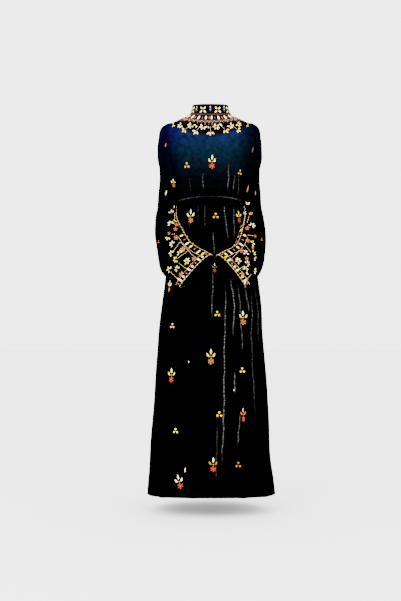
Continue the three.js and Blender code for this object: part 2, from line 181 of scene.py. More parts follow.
# Hanging folds: `at` runs from -1 at the wearer's right side seam to 1 at the left one.
FRONT_FOLDS = table("""
top_at bottom_at top_z bottom_z rise half_width
-0.93 -0.95 -640 -1300 5 0.06
-0.77 -0.8 -600 -1500 8 0.07
-0.62 -0.63 -420 -1100 6 0.07
-0.56 -0.5 -980 -1640 13 0.08
-0.46 -0.44 -340 -900 7 0.06
-0.34 -0.3 -350 -1240 8 0.06
-0.22 -0.17 -560 -1640 14 0.08
-0.1 -0.07 -340 -820 5 0.055
0.02 0.015 -400 -900 7 0.05
0.13 0.15 -360 -1500 15 0.06
0.27 0.25 -330 -1000 10 0.055
0.32 0.31 -980 -1640 11 0.07
0.5 0.42 -330 -1120 9 0.06
0.49 0.47 -560 -960 5 0.045
0.61 0.61 -520 -1640 11 0.065
0.75 0.77 -560 -1100 7 0.06
0.9 0.92 -700 -1640 8 0.06
""")
BACK_FOLDS = table("""
top_at bottom_at top_z bottom_z rise half_width
-0.9 -0.93 -620 -1500 8 0.06
-0.75 -0.77 -420 -1180 8 0.065
-0.6 -0.62 -350 -1640 13 0.075
-0.45 -0.46 -340 -980 7 0.06
-0.36 -0.3 -540 -1640 15 0.08
-0.2 -0.15 -345 -1260 9 0.065
0.18 0.14 -345 -1640 14 0.075
0.33 0.31 -350 -1100 8 0.06
0.47 0.46 -500 -1640 14 0.08
0.63 0.64 -340 -1020 8 0.065
0.76 0.79 -640 -1640 11 0.07
0.92 0.94 -600 -1250 6 0.05
""")
BODICE_FOLDS = table("""
top_at bottom_at top_z bottom_z rise half_width
-0.72 -0.66 -230 -372 3 0.08
-0.44 -0.42 -255 -366 2.5 0.07
-0.14 -0.16 -245 -360 3 0.07
0.33 0.35 -205 -362 4.5 0.07
0.47 0.5 -235 -366 4 0.07
0.63 0.66 -240 -372 3.5 0.07
""")

# Sharp creases with a painted highlight on their crests: their distance from the centre line at the top,
# middle and bottom, and how bright that painted highlight is.
FRONT_CREASES = table("""
top_x middle_x bottom_x top_z bottom_z rise half_width shine
-31 -29 -26 -246 -320 2.2 7 0.5
72 69 65 -206 -318 2.4 7 0.55
94 92 88 -250 -316 2.2 6 0.5
110 108 106 -244 -338 2.2 6 0.4
-84 -80 -78 -262 -330 2.0 6 0.1
55 57 65 -380 -510 3.2 7 0.85
88 91 90 -384 -500 3.2 7 0.95
-22 -23 -22 -384 -470 2.4 6 0.3
-84 -84 -82 -400 -470 2.4 6 0.4
-46 -48 -50 -382 -450 2.0 6 0.12
10 11 10 -482 -570 2.6 6 0.8
3 1 -1 -620 -815 3.0 6 0.75
49 49 45 -664 -1380 3.6 7 1.0
69 82 80 -650 -880 3.4 7 1.0
100 112 123 -670 -944 3.2 7 0.7
126 131 136 -694 -786 2.8 6 0.6
153 160 173 -690 -1200 3.0 7 0.4
171 179 186 -690 -910 2.8 6 0.3
92 92 91 -1020 -1100 2.8 6 0.8
108 107 103 -1180 -1300 2.8 6 0.6
26 24 20 -1220 -1440 2.6 7 0.3
-60 -62 -66 -720 -980 2.6 7 0
-112 -118 -126 -760 -1120 2.8 7 0
-38 -36 -40 -1060 -1380 2.6 7 0
-150 -158 -166 -900 -1300 2.6 7 0
""")
BACK_CREASES = table("""
top_x middle_x bottom_x top_z bottom_z rise half_width shine
-58 -60 -66 -384 -520 3.0 7 0.5
-96 -98 -99 -386 -470 2.6 6 0.4
30 31 27 -384 -480 2.8 6 0.5
82 84 90 -382 -560 3.0 7 0.6
-36 -40 -44 -610 -1240 3.4 7 0.7
-84 -92 -98 -680 -980 3.0 7 0.5
22 26 30 -700 -1100 3.0 7 0.5
66 72 70 -640 -1380 3.4 7 0.8
118 128 136 -720 -1160 3.0 7 0.5
-140 -150 -158 -780 -1300 2.8 7 0.3
-20 -22 -18 -1180 -1420 2.6 7 0.3
64 62 60 -250 -340 2.2 6 0.3
-70 -66 -62 -240 -340 2.2 6 0.3
-10 -12 -12 -280 -344 2.0 6 0.2
""")

# Sleeve sections from just below the armhole to the rim: the inner point lies on the body side (on the
# forearm, at its upper edge) and the outer one opposite (at its lower edge), for the wearer's right arm (-1)
# and left arm (1). Between them lie half the thickness, how far it thins towards the outer point, how far
# its front leans in, and the share of it in front.
SLEEVE_SECTIONS = table("""
inner_y outer_y half_depth thinning lean front_share
0 0 60.5 0 0 0.5
0 0 60 0 2 0.5
0 0 59 0 4 0.5
-1 0 58 0 6 0.5
-2 0 56 0 6 0.5
-6 -2 54 0 8 0.5
-13 -8 52 0 10 0.5
-22 -15 51 0 14 0.5
-33 -22 50 0 18 0.5
-48 -30 48 0.05 16 0.5
-68 -32 44 0.1 10 0.5
-100 -58 40 0.15 4 0.48
-126 -84 39 0.2 0 0.44
-140 -100 38 0.25 0 0.4
-156 -118 37 0.28 0 0.36
-172 -138 35.5 0.3 0 0.33
-188 -157 34 0.32 0 0.3
-207 -179 32.5 0.34 0 0.28
-226 -199 31 0.35 0 0.27
-239 -212 30 0.35 0 0.26
""")
SLEEVE_EDGES = {
    -1: table("""
inner_x inner_z outer_x outer_z
153.5 -201.5 168 -34
155 -205 186 -43
155 -209 199 -59
153.5 -214 206 -84
151.5 -222 208 -116
150.5 -237 204 -156
147 -262 199 -206
142 -296 200 -258
136.5 -332 205 -316
136 -368 210 -372
136 -402 214 -428
128 -428 212.5 -482
118 -450 209 -534
106 -470 203 -582
93 -495 195 -616
77 -517 181 -642
57 -533 164 -660
36 -547 145 -674
13 -560 128 -685
-3 -569 117 -690
"""),
    1: table("""
inner_x inner_z outer_x outer_z
153.5 -201.5 168 -34
155 -205 184 -43
155 -209 196 -59
153.5 -214 202 -84
151.5 -222 203 -116
151 -237 200 -156
147 -262 194 -206
142 -296 195 -258
136.5 -332 199 -316
136.5 -368 203 -372
138 -402 207 -428
132 -428 211 -482
126 -450 214 -534
120 -472 210 -582
112 -498 201 -614
101 -522 190 -638
83 -538 178 -656
62 -550 163 -670
40 -561 145 -683
24 -570 131 -690
"""),
}
# Sleeve folds from one place to another: degrees round the sleeve (0 on the body side, 90 in front, 180
# outside, 270 behind) and the section along it.
SLEEVE_FOLDS = table("""
from_turn from_section to_turn to_section rise half_width
60 1.5 40 6.0 3.2 12
100 3.0 78 8.6 2.8 12
150 2.5 132 9.0 2.4 13
30 5.5 60 9.4 3.2 11
12 8.6 78 10.4 4 11
14 9.8 105 11.8 3.6 12
150 8.5 160 13.5 3.2 13
120 10.5 138 14.0 2.4 12
210 2.5 225 7.5 3.2 12
250 3.5 262 9.0 3.2 12
300 5.0 290 10.0 3.2 12
340 8.5 275 10.8 4 12
335 10.2 250 12.6 3.2 12
230 11.0 215 16.0 2.4 13
285 12.5 262 17.0 2 12
4 7.6 4 12.2 3.2 14
356 7.6 356 12.2 3.2 14
""")
# Small waves in the cloth. A gather has its number from side seam to side seam and the way that it drifts.
# The slack runs by radians in a quarter round and by millimetres down the cloth for each radian, and a
# sleeve's ripples by millimetres for each radian both ways.
GATHERS = table("""
rise waves drift phase
1.3 14 0 0
0.9 31 1 1.3
0.5 47 -1 0.4
""")
SLACK = table("""
rise round down phase
0.8 11 120 0
0.6 19 -75 1
0.4 7 33 2
""")
SLEEVE_RIPPLES = table("""
rise round down
0.7 9 31
0.5 23 -17
""")
SASH_PROFILE = table("""
share rise
-0.5 0
-0.3 1.6
-0.08 0.5
0.14 2.1
0.34 1.0
0.5 0.1
""")

# ---- motif places
# x and z are where a motif is seen from in front, at the garment's own scale.
SPRIGS = table("""
x z size tilt flower leaves
8 -188 1.0 0 RED CREAM
-78 -406 1.0 -6 ORANGE IVORY
115 -408 0.9 -6 CORAL CREAM
18 -611 0.66 4 CORAL ROSE
-163 -684 0.9 0 ORANGE CREAM
131 -812 1.0 0 ORANGE PALE_GOLD
3 -968 1.1 0 ORANGE PALE_GOLD
-156 -1042 1.0 0 RED PALE_GOLD
132 -1200 1.0 0 RED CORAL
12 -1400 1.0 0 RED ORANGE
-124 -1468 1.0 -18 RED IVORY
""")
TREFOILS = table("""
x z size tilt thread
-94 -202 0.95 0 GOLD
119 -230 0.85 8 GOLD
22 -404 0.95 0 GOLD
28 -796 0.9 0 PALE_GOLD
-152 -844 0.85 0 PALE_GOLD
128 -1022 0.9 0 PALE_GOLD
36 -1198 0.9 0 PALE_GOLD
-139 -1264 0.85 0 CREAM
112 -1400 0.9 0 ORANGE
""")
BACK_SPRIGS = table("""
x z size tilt flower leaves
-12 -196 1.0 0 CORAL CREAM
64 -440 1.0 5 ORANGE IVORY
-70 -560 1.0 0 CORAL GOLD
128 -700 1.0 0 GOLD CREAM
-6 -800 1.0 0 CORAL PALE_GOLD
-140 -930 1.0 4 ORANGE CREAM
90 -1010 1.0 0 RED PALE_GOLD
-30 -1160 1.05 0 ORANGE PALE_GOLD
150 -1260 1.0 0 CORAL ORANGE
-150 -1330 1.0 -10 RED IVORY
20 -1420 1.0 0 CORAL CORAL
""")
BACK_TREFOILS = table("""
x z size tilt thread
86 -220 0.9 0 ORANGE
-92 -250 0.85 0 GOLD
-26 -440 0.95 0 GOLD
30 -650 0.9 0 PALE_GOLD
-150 -740 0.9 0 PALE_GOLD
70 -860 0.9 0 PALE_GOLD
-60 -1010 0.85 0 ORANGE
160 -1100 0.9 0 PALE_GOLD
60 -1250 0.9 0 CREAM
-90 -1440 0.9 0 ORANGE
130 -1440 0.9 0 PALE_GOLD
""")
FLECKS = table("""
x z length
-87 -992 9
94 -1104 8
-102 -1430 20
-130 -470 8
""")
SLEEVE_SPRIGS = table("""
x z size kind thread
-147 -272 0.62 sprig ORANGE
-180 -130 0.55 leaf ROSE
-180 -322 0.55 leaf IVORY
-207 -508 0.45 trefoil ROSE
146 -310 0.7 leaf ROSE
167 -152 0.6 leaf MAUVE
181 -322 0.5 leaf ROSE
206 -498 0.45 trefoil ROSE
""")
RIGHT_CUFF_CLUSTERS = table("""
x z count size heading
-153 -391 3 15 -10
-144 -367 1 14 -20
-158 -433 5 15 -20
-144 -426 2 13 25
-169 -488 3 14 200
-152 -516 5 14 -60
-154 -553 4 15 -60
-138 -578 5 14 -100
-122 -552 4 14 -40
-133 -615 5 14 -60
-164 -619 4 15 -70
-94 -585 6 15 40
-122 -660 1 17 -60
""")
RIGHT_CUFF_FLOWERS = table("""
x z size petal
-134 -438 19 CORAL
-139 -456 17 CORAL
-136 -490 19 ORANGE
-110 -537 20 GOLD
-65 -574 21 CORAL
-116 -637 22 ORANGE
-165 -473 12 ORANGE
""")
RIGHT_CUFF_LINES = table("""
from_x from_z to_x to_z
-118 -509 -67 -565
-86 -541 -132 -574
-121 -509 -145 -540
-125 -593 -93 -617
-158 -628 -126 -660
-154 -477 -142 -476
-142 -394 -142 -416
""")
LEFT_CUFF_CLUSTERS = table("""
x z count size heading
148 -362 2 19 10
138 -398 3 14 40
167 -441 5 15 30
128 -456 1 14 60
168 -514 4 14 60
172 -552 3 14 70
175 -571 2 13 110
143 -553 4 14 0
112 -583 6 15 0
148 -594 5 14 60
142 -617 5 14 30
176 -622 3 15 100
148 -634 1 15 120
138 -670 1 17 50
""")
LEFT_CUFF_FLOWERS = table("""
x z size petal
148 -452 18 CORAL
133 -438 12 ROSE
162 -394 16 GOLD
150 -502 18 CORAL
126 -543 19 CORAL
84 -580 15 ROSE
146 -574 17 ORANGE
128 -637 18 ORANGE
180 -485 12 CORAL
170 -530 13 ORANGE
""")
LEFT_CUFF_LINES = table("""
from_x from_z to_x to_z
116 -542 88 -572
87 -599 114 -630
114 -618 136 -604
138 -518 163 -549
151 -480 175 -483
148 -431 154 -407
143 -661 165 -636
143 -663 159 -676
140 -372 140 -382
""")
YOKE_SPRAYS = table("""
x z leaves size
-147 -39 4 14
-119 -41 5 15
-101 -58 3 17
-78 -42 5 15.5
-56 -63 3 18
-54 -39 2 14
-29 -47 5 16
-10 -42 2 13
1 -67 3 18
24 -47 6 15.5
42 -39 1 15
60 -59 3 18
80 -42 5 16
112 -36 5 15.5
109 -57 3 17
150 -40 4 14
""")
BACK_YOKE_SPRAYS = table("""
x z leaves size
-146 -40 4 14
-118 -43 5 15
-98 -59 3 17
-74 -43 5 15.5
-46 -63 3 18
-50 -40 2 14
-20 -47 5 16
4 -46 2 14
20 -66 3 18
46 -47 5 15.5
72 -60 3 17
92 -42 5 16
118 -56 3 16
146 -40 4 14
""")
YOKE_FLOWERS = table("""
x z size
-99 -19 15
60 -21 14
-66 -24 10
102 -20 11
""")


# ---- curves
def ease(amount: Array) -> Array:
    """Smooth step from 0 to 1."""
    t = np.clip(amount, 0.0, 1.0)
    return t * t * (3.0 - 2.0 * t)


def smooth_curve(places: Array, values: Array, at: Array) -> Array:
    """Smooth curve through given values that never swings past them.

    Args:
        places: Rising places along the curve.
        values: The value at each place, one row each.
        at: Where to read the curve.

    Returns:
        The value at each asked place, one row each.
    """
    shape = (-1,) + (1,) * (values.ndim - 1)
    step = np.diff(places).reshape(shape)
    slope = np.diff(values, axis=0) / step
    before, after = slope[:-1], slope[1:]
    same_way = before * after > 0
    total = np.where(same_way, before + after, 1.0)
    middle = np.where(same_way, 2.0 * before * after / total, 0.0)
    tangent = np.concatenate([slope[:1], middle, slope[-1:]])
    span = np.clip(np.searchsorted(places, at, side="right") - 1, 0, len(places) - 2)
    width = step[span]
    t = ((at - places[span]).reshape(shape)) / width
    return (
        (1 + 2 * t) * (1 - t) ** 2 * values[span]
        + t * (1 - t) ** 2 * width * tangent[span]
        + t**2 * (3 - 2 * t) * values[span + 1]
        + t**2 * (t - 1) * width * tangent[span + 1]
    )


def signed_power(value: Array, exponent: Array) -> Array:
    """Raises to a power and keeps the sign."""
    return np.sign(value) * np.abs(value) ** exponent


def run_along(points: Array) -> Array:
    """Millimetres from the first of a row of points in metres to each of them."""
    return np.concatenate([[0], np.cumsum(np.linalg.norm(np.diff(points, axis=0), axis=-1))]) / MM


# ---- surfaces
HIDDEN = 1e4  # millimetres added to a place on the hidden side, so that a seen one is nearer
MISS = 3.0  # millimetres beyond which a search for a place has missed it


@dataclass(frozen=True)
class Viewpoint:
    """An eye level with the garment's middle, in front of it or behind it."""

    side: Side = Side.FRONT
    distance: float = 4300.0
    x: float = -39.0
    z: float = -742.0

    def seen(self, points: Array) -> Array:
        """Where points are seen.

        Args:
            points: Points in metres.

        Returns:
            Their x and z in millimetres at the origin's depth.
        """
        mm = points / MM
        nearer = self.distance / (self.distance - self.side.value * mm[..., 1])
        x = self.x + (mm[..., 0] - self.x) * nearer
        z = self.z + (mm[..., 2] - self.z) * nearer
        return np.stack([x, z], axis=-1)

    def faces(self, points: Array, normals: Array) -> Array:
        """Whether each point's outer side is turned to the eye."""
        eye = np.array([self.x, self.side.value * self.distance, self.z]) * MM
        return ((eye - points) * normals).sum(axis=-1) > 0


@dataclass
class ClothSurface:
    """A piece of cloth as rows of outer points, in metres."""

    points: Array
    closed: bool = False  # whether the columns run all the way round
    shine: Array | None = None  # how strong the painted highlight is at each point
    normals: Array = field(init=False)

    def __post_init__(self) -> None:
        """Works out which way each point faces."""
        if self.shine is None:
            self.shine = np.zeros(self.points.shape[:2])
        self.normals = self._outward()

    def _outward(self) -> Array:
        """Which way the outer side of each point faces.

        Returns:
            Unit normals out of the hollow.
        """
        down = np.gradient(self.points, axis=0)
        if self.closed:
            across = np.roll(self.points, -1, axis=1) - np.roll(self.points, 1, axis=1)
        else:
            across = np.gradient(self.points, axis=1)
        normal = np.cross(down, across)
        normal /= np.linalg.norm(normal, axis=-1, keepdims=True) + 1e-12
        if self.closed:
            middle = self.points.mean(axis=1, keepdims=True)
        else:
            middle = self.points * np.array([0.0, 0.0, 1.0])
        inwards = ((self.points - middle) * normal).sum() < 0
        return -normal if inwards else normal

    def read(self, rows: Array, columns: Array) -> tuple[Array, Array]:
        """Points and normals between the grid's own.

        Args:
            rows: Fractional row numbers.
            columns: Fractional column numbers.

        Returns:
            The points and the unit normals there.
        """
        row_count, column_count = self.points.shape[:2]
        rows = np.clip(rows, 0, row_count - 1.001)
        if self.closed:
            columns = np.mod(columns, column_count)
        else:
            columns = np.clip(columns, 0, column_count - 1.001)
        i, j = rows.astype(int), columns.astype(int)
        down, across = (rows - i)[..., None], (columns - j)[..., None]
        after = (j + 1) % column_count

        def blend(grid: Array) -> Array:
            """Reads one grid.

            Args:
                grid: A vector at each row and column.

            Returns:
                The vectors between them.
            """
            upper = grid[i, j] * (1 - across) + grid[i, after] * across
            lower = grid[i + 1, j] * (1 - across) + grid[i + 1, after] * across
            return upper * (1 - down) + lower * down

        normal = blend(self.normals)
        return blend(self.points), normal / np.linalg.norm(normal, axis=-1, keepdims=True)

    def find(self, view: Viewpoint, x: float, z: float) -> Pair:
        """The place on the cloth that is seen at x and z.

        Args:
            view: Where it is seen from.
            x: Millimetres from the centre line.
            z: Millimetres up.

        Returns:
            Fractional row and column.
        """
        target = np.array([x, z])
        away = np.linalg.norm(view.seen(self.points) - target, axis=-1)
        away = np.where(view.faces(self.points, self.normals), away, away + HIDDEN)
        row, column = (float(v) for v in np.unravel_index(np.argmin(away), away.shape))
        nearest = row, column
        for _ in range(4):
            rows = np.array([row, row + 0.5, row])
            columns = np.array([column, column, column + 0.5])
            here, lower, later = view.seen(self.read(rows, columns)[0])
            jacobian = np.stack([(lower - here) * 2, (later - here) * 2], axis=1)
            if abs(np.linalg.det(jacobian)) < 1e-6:
                break
            move = np.clip(np.linalg.solve(jacobian, target - here), -2, 2)
            row = min(max(row + float(move[0]), 0.0), self.points.shape[0] - 1.6)
            column += float(move[1])
            if not self.closed:
                column = min(max(column, 0.0), self.points.shape[1] - 1.6)
        point, normal = self.read(np.array([row]), np.array([column]))
        missed = np.linalg.norm(view.seen(point[0]) - target) > MISS or not view.faces(point, normal)[0]
        return nearest if missed else (row, column)


@dataclass
class BodyForm:
    """The worn shape of the body of the garment, between its rings."""

    rings: Table

    def ring(self, z: Array) -> Table:
        """Every ring size at each height."""
        height = -np.asarray(z, float)
        return {name: smooth_curve(-self.rings["z"], sizes, height) for name, sizes in self.rings.items()}

    def limit(self, z: Array) -> Array:
        """How far round a ring the cloth runs before the armhole plane cuts it.

        Args:
            z: Heights.

        Returns:
            The share of a quarter round, 1 where nothing is cut.
        """
        ring = self.ring(z)
        cut = (ARMHOLE / np.maximum(ring["half_width"], ARMHOLE)) ** (ring["power"] / 2)
        inside = (z < SHOULDER_Z) & (z > ARMPIT_Z)
        return np.where(inside, 2 / math.pi * np.arcsin(np.clip(cut, 0, 1)), 1.0)

    def place(self, side: Side, at: Array, z: Array, rise: Array) -> Array:
        """Points on the form.

        Args:
            side: Front or back.
            at: From -1 at the wearer's right to 1 at the left, by row and column.
            z: Height of each row.
            rise: How far the cloth stands out, by row and column.

        Returns:
            Points in metres, by row and column.
        """
        ring = {name: column[:, None] for name, column in self.ring(z).items()}
        front = side is Side.FRONT
        reach, lift = (ring["front"], ring["front_lift"]) if front else (ring["back"], ring["back_lift"])
        angle = at * math.pi / 2
        bend = 2 / ring["power"]
        x = signed_power(np.sin(angle), bend) * ring["half_width"]
        y = side.value * np.abs(np.cos(angle)) ** bend * reach
        out_x = signed_power(x / ring["half_width"], ring["power"] - 1) / ring["half_width"]
        out_y = signed_power(y / reach, ring["power"] - 1) / reach
        length = np.hypot(out_x, out_y) + 1e-12
        points = np.stack(
            [
                x + ring["shift"] + out_x / length * rise,
                y + out_y / length * rise,
                ring["z"] + lift * np.cos(angle) ** 2,
            ],
            axis=-1,
        )
        return points * MM

    def at_distance(self, x: Array, z: Array) -> Array:
        """Turns a distance from the centre line into a place round the form.

        Args:
            x: The distance at each height, signed.
            z: Heights.

        Returns:
            The `at` of each.
        """
        ring = self.ring(z)
        share = np.clip(np.abs(x) / ring["half_width"], 0, 1) ** (ring["power"] / 2)
        return np.sign(x) * 2 / math.pi * np.arcsin(share)


def hanging_folds(folds: Table, at: Array, z: Array) -> Array:
    """How far hanging folds stand out.

    Args:
        folds: The folds.
        at: Place round the form, by row and column.
        z: Height of each row.

    Returns:
        The rise, by row and column.
    """
    rise = np.zeros_like(at)
    for top_at, bottom_at, top_z, bottom_z, height, half_width in zip(*folds.values()):
        down = ((top_z - z) / (top_z - bottom_z))[:, None]
        centre = top_at + (bottom_at - top_at) * down
        away = np.clip(np.abs(at - centre) / half_width, 0, 1)
        fade = ease(down / FOLD_FADES[0]) * ease((1 - down) / FOLD_FADES[1]) * ((down > 0) & (down < 1))
        rise += height * fade * (0.5 + 0.5 * np.cos(math.pi * away))
    return rise


@dataclass
class BodyPanel:
    """One cut piece of the bodice or the skirt."""

    form: BodyForm
    side: Side
    start: float  # `at` of its edge nearer the wearer's right
    stop: float  # `at` of its other edge
    top: float
    bottom: float
    rows: int
    columns: int
    folds: Table
    creases: Table

    def surface(self) -> ClothSurface:
        """Shapes the cloth with its folds, gathers and creases.

        Returns:
            The cloth, clear of its neighbours by half a seam.
        """
        z = np.linspace(self.top, self.bottom, self.rows)
        share = np.linspace(self.start, self.stop, self.columns)
        at = share[None, :] * self.form.limit(z)[:, None]
        flat = self.form.place(self.side, at, z, np.zeros_like(at)) / MM
        along = np.linalg.norm(np.diff(flat, axis=1), axis=-1)
        along = np.concatenate([np.zeros((self.rows, 1)), np.cumsum(along, axis=1)], axis=1)
        seam_fade = 1 - ease((np.abs(at) - (1 - SEAM_FLAT)) / SEAM_FLAT)
        crease_rise, shine = self._creases(at, z, along)
        rise = hanging_folds(self.folds, at, z) + crease_rise
        rise = (rise + self._gathers(at, z) + self._slack(at, z)) * seam_fade
        points = self.form.place(self.side, at, z, rise)
        for edge in (0, -1):
            if abs(share[edge]) > 1e-6:
                points[:, edge, 1] += self.side.value * SEAM / 2 * MM
            else:
                points[:, edge, 0] += (self.start + self.stop) * SEAM / 2 * MM
        points[0, :, 2] -= SEAM / 2 * MM
        points[-1, :, 2] += SEAM / 2 * MM
        return ClothSurface(points, False, shine * seam_fade)

    def _creases(self, at: Array, z: Array, along: Array) -> tuple[Array, Array]:
        """Rise and painted highlight of the sharp creases.

        Args:
            at: Place round the ring of each point.
            z: Height of each row.
            along: Distance along each row from its first column.

        Returns:
            The rise in millimetres and the shine, by row and column.
        """
        rise = np.zeros_like(at)
        shine = np.zeros_like(at)
        for top_x, middle_x, bottom_x, top_z, bottom_z, height, width, light in zip(*self.creases.values()):
            down = (top_z - z) / (top_z - bottom_z)
            x = (
                top_x * (1 - down) * (1 - 2 * down)
                + 4 * middle_x * down * (1 - down)
                + bottom_x * down * (2 * down - 1)
            )
            for (stray, pitch), phase in zip(CREASE_WANDER, (top_x, top_z)):
                x = x + stray * np.sin(z / pitch + phase)
            centre_at = self.form.at_distance(x, z)
            fade = ease(down / CREASE_FADE) * ease((1 - down) / CREASE_FADE) * ((down > 0) & (down < 1))
            for row in np.nonzero(fade > 0)[0]:
                centre = np.interp(centre_at[row], at[row], along[row], left=-1e3, right=1e5)
                away = np.abs(along[row] - centre) / width
                crest = np.clip(1 - away, 0, 1) ** 1.5
                rise[row] += height * fade[row] * crest
                # Painted highlight along the crest.
                glint = np.clip(1 + CREST_FLAT - np.abs(along[row] - centre) / CREST, 0, 1)
                shine[row] = np.maximum(shine[row], PAINTED_GLINT_SHARE * light * fade[row] * glint)
        return rise, shine

    def _gathers(self, at: Array, z: Array) -> Array:
        """Small uneven gathers that the sash draws up.

        Args:
            at: Place round the form, by row and column.
            z: Height of each row.

        Returns:
            The rise, by row and column.
        """
        near = ease(1 - np.abs(z - WAIST_Z) / GATHER_FADE)[:, None]
        drift = GATHER_DRIFT * np.sin(z / DRIFT_PITCH)[:, None]
        waves = np.zeros_like(at)
        for rise, count, way, phase in zip(*GATHERS.values()):
            waves = waves + rise * np.cos(math.pi * (count * (at + way * drift)) + phase)
        return near * waves

    def _slack(self, at: Array, z: Array) -> Array:
        """Slight unevenness of heavy cloth that hangs.

        Args:
            at: Place round the form, by row and column.
            z: Height of each row.

        Returns:
            The rise, by row and column.
        """
        waves = np.zeros_like(at)
        for rise, around, down, phase in zip(*SLACK.values()):
            waves = waves + rise * np.sin(around * at + z[:, None] / down + phase)
        return ease((SLACK_TOP - z) / SLACK_FADE)[:, None] * waves


@dataclass
class SleeveForm:
    """One bent trumpet sleeve."""

    form: BodyForm
    hand: int  # -1 on the wearer's right, 1 on the left
    rows: int = 190
    columns: int = 112
    degree_mm: float = 0.87  # cloth in one degree round it
    section_mm: float = 33.0  # cloth from one section to the next
    smooth_start: Pair = (0.6, 2.0)  # sections without folds past the armhole, and those over which they rise
    smooth_end: float = 3.0  # sections over which they die away at the rim

    def surface(self) -> ClothSurface:
        """Shapes the sleeve's cloth with its folds.

        Returns:
            The cloth, as a tube from the armhole to the rim.
        """
        turn = np.linspace(0, 2 * math.pi, self.columns, endpoint=False)
        rings = np.concatenate([self._armhole(turn)[None], self._section_rings(turn)])
        section = np.linspace(0, len(rings) - 1, self.rows)
        points = smooth_curve(np.arange(len(rings), dtype=float), rings, section) * MM
        smooth = ClothSurface(points, closed=True)
        folds = self._folds(turn, section)[..., None] * MM
        return ClothSurface(smooth.points + smooth.normals * folds, closed=True)

    def _armhole(self, turn: Array) -> Array:
        """The armhole's outline in its plane.

        Args:
            turn: Angles round the sleeve in radians.

        Returns:
            A point at each angle.
        """
        z = (SHOULDER_Z + ARMPIT_Z) / 2 - (SHOULDER_Z - ARMPIT_Z) / 2 * np.cos(turn)
        ring = self.form.ring(z)
        limit = self.form.limit(z)
        front = np.sin(turn) >= 0
        reach = np.where(front, ring["front"], ring["back"])
        lift = np.where(front, ring["front_lift"], ring["back_lift"]) * np.cos(limit * math.pi / 2) ** 2
        depth = reach * np.cos(limit * math.pi / 2) ** (2 / ring["power"])
        x = np.full_like(z, self.hand * (ARMHOLE + SEAM / 2))
        return np.stack([x, np.where(front, -depth, depth), z + lift], axis=-1)

    def _section_rings(self, turn: Array) -> Array:
        """The ring of each section.

        Args:
            turn: Angles round the sleeve in radians.

        Returns:
            Points, by section and angle.
        """
        sizes, edges = SLEEVE_SECTIONS, SLEEVE_EDGES[self.hand]
        inner, outer = (
            np.stack([edges[f"{edge}_x"] * self.hand, sizes[f"{edge}_y"], edges[f"{edge}_z"]], axis=-1)
            for edge in ("inner", "outer")
        )
        centre = (inner + outer) / 2
        half = (outer - inner) / 2
        forwards = np.concatenate([centre[1:], centre[-1:]]) - np.concatenate([centre[:1], centre[:-1]])
        depth = np.cross(half, forwards)
        depth /= np.linalg.norm(depth, axis=-1, keepdims=True)
        depth = np.where(depth[:, 1:2] > 0, -depth, depth)
        across, out = np.sin(turn)[None, :], np.cos(turn)[None, :]
        front_share = sizes["front_share"][:, None]
        share = np.where(across > 0, front_share, 1 - front_share)
        reach = 2 * share * sizes["half_depth"][:, None] * across
        reach = reach * (1 + sizes["thinning"][:, None] * out)
        rings = centre[:, None] - half[:, None] * out[..., None] + depth[:, None] * reach[..., None]
        rings[..., 0] -= self.hand * sizes["lean"][:, None] * across
        return rings

    def _folds(self, turn: Array, section: Array) -> Array:
        """How far the sleeve's folds stand out.

        Args:
            turn: Angles round the sleeve in radians.
            section: The section at each row.

        Returns:
            The rise, by row and column.
        """
        cloth_mm = np.array([self.degree_mm, self.section_mm])
        around = (np.degrees(turn) * self.degree_mm)[None, :]
        along = (section * self.section_mm)[:, None]
        rise = np.zeros((self.rows, self.columns))
        for from_turn, from_section, to_turn, to_section, height, width in zip(*SLEEVE_FOLDS.values()):
            start = np.array([from_turn, from_section]) * cloth_mm
            run = np.array([to_turn, to_section]) * cloth_mm - start
            share = ((around - start[0]) * run[0] + (along - start[1]) * run[1]) / (run @ run)
            inside = np.clip(share, 0, 1)
            away = np.hypot(around - start[0] - inside * run[0], along - start[1] - inside * run[1])
            fade = ease(inside / SLEEVE_FOLD_FADE) * ease((1 - inside) / SLEEVE_FOLD_FADE)
            rise += height * fade * (0.5 + 0.5 * np.cos(math.pi * np.clip(away / width, 0, 1)))
        smooth, growth = self.smooth_start
        left_over = len(SLEEVE_SECTIONS["lean"]) - section
        loose = (ease((section - smooth) / growth) * ease(left_over / self.smooth_end))[:, None]
        ripple = np.zeros_like(rise)
        for height, round_mm, down_mm in zip(*SLEEVE_RIPPLES.values()):
            ripple = ripple + height * np.sin(around / round_mm + along / down_mm)
        return (rise + ripple) * loose


def round_body(form: BodyForm, z: Array, rise: Array, columns: int, gap: float) -> Array:
    """Rows of points all the way round the form, from the centre back past the wearer's right.

    Args:
        form: The shape to follow.
        z: Height of each row.
        rise: How far each point stands out, by row and column.
        columns: Points in a row.
        gap: Clearance left at the centre back, or 0 for a closed round.

    Returns:
        Points in metres.
    """
    turn = np.linspace(0, 4, columns, endpoint=gap > 0)
    at = np.where(turn < 1, -turn, np.where(turn > 3, 4 - turn, turn - 2))
    at = np.broadcast_to(at, rise.shape)
    front = form.place(Side.FRONT, at, z, rise)
    back = form.place(Side.BACK, at, z, rise)
    points = np.where(((turn < 1) | (turn > 3))[None, :, None], back, front)
    points[:, 0, 0] -= gap / 2 * MM
    if gap > 0:
        points[:, -1, 0] += gap / 2 * MM
    return points


# ---- meshes and materials
def add_node(material: Material, kind: str, inputs: dict[str, Any], **settings: Any) -> Any:
    """Adds one shader node.

    Args:
        material: The material to add to.
        kind: The node's Blender type.
        inputs: A value or a socket for each named or numbered input.
        settings: Properties of the node.

    Returns:
        The node.
    """
    tree = material.node_tree
    node = tree.nodes.new(kind)
    for name, value in settings.items():
        setattr(node, name, value)
    for name, value in inputs.items():
        socket = node.inputs[int(name) if name.isdigit() else name]
        if isinstance(value, bpy.types.NodeSocket):
            tree.links.new(value, socket)
        else:
            socket.default_value = value
    return node


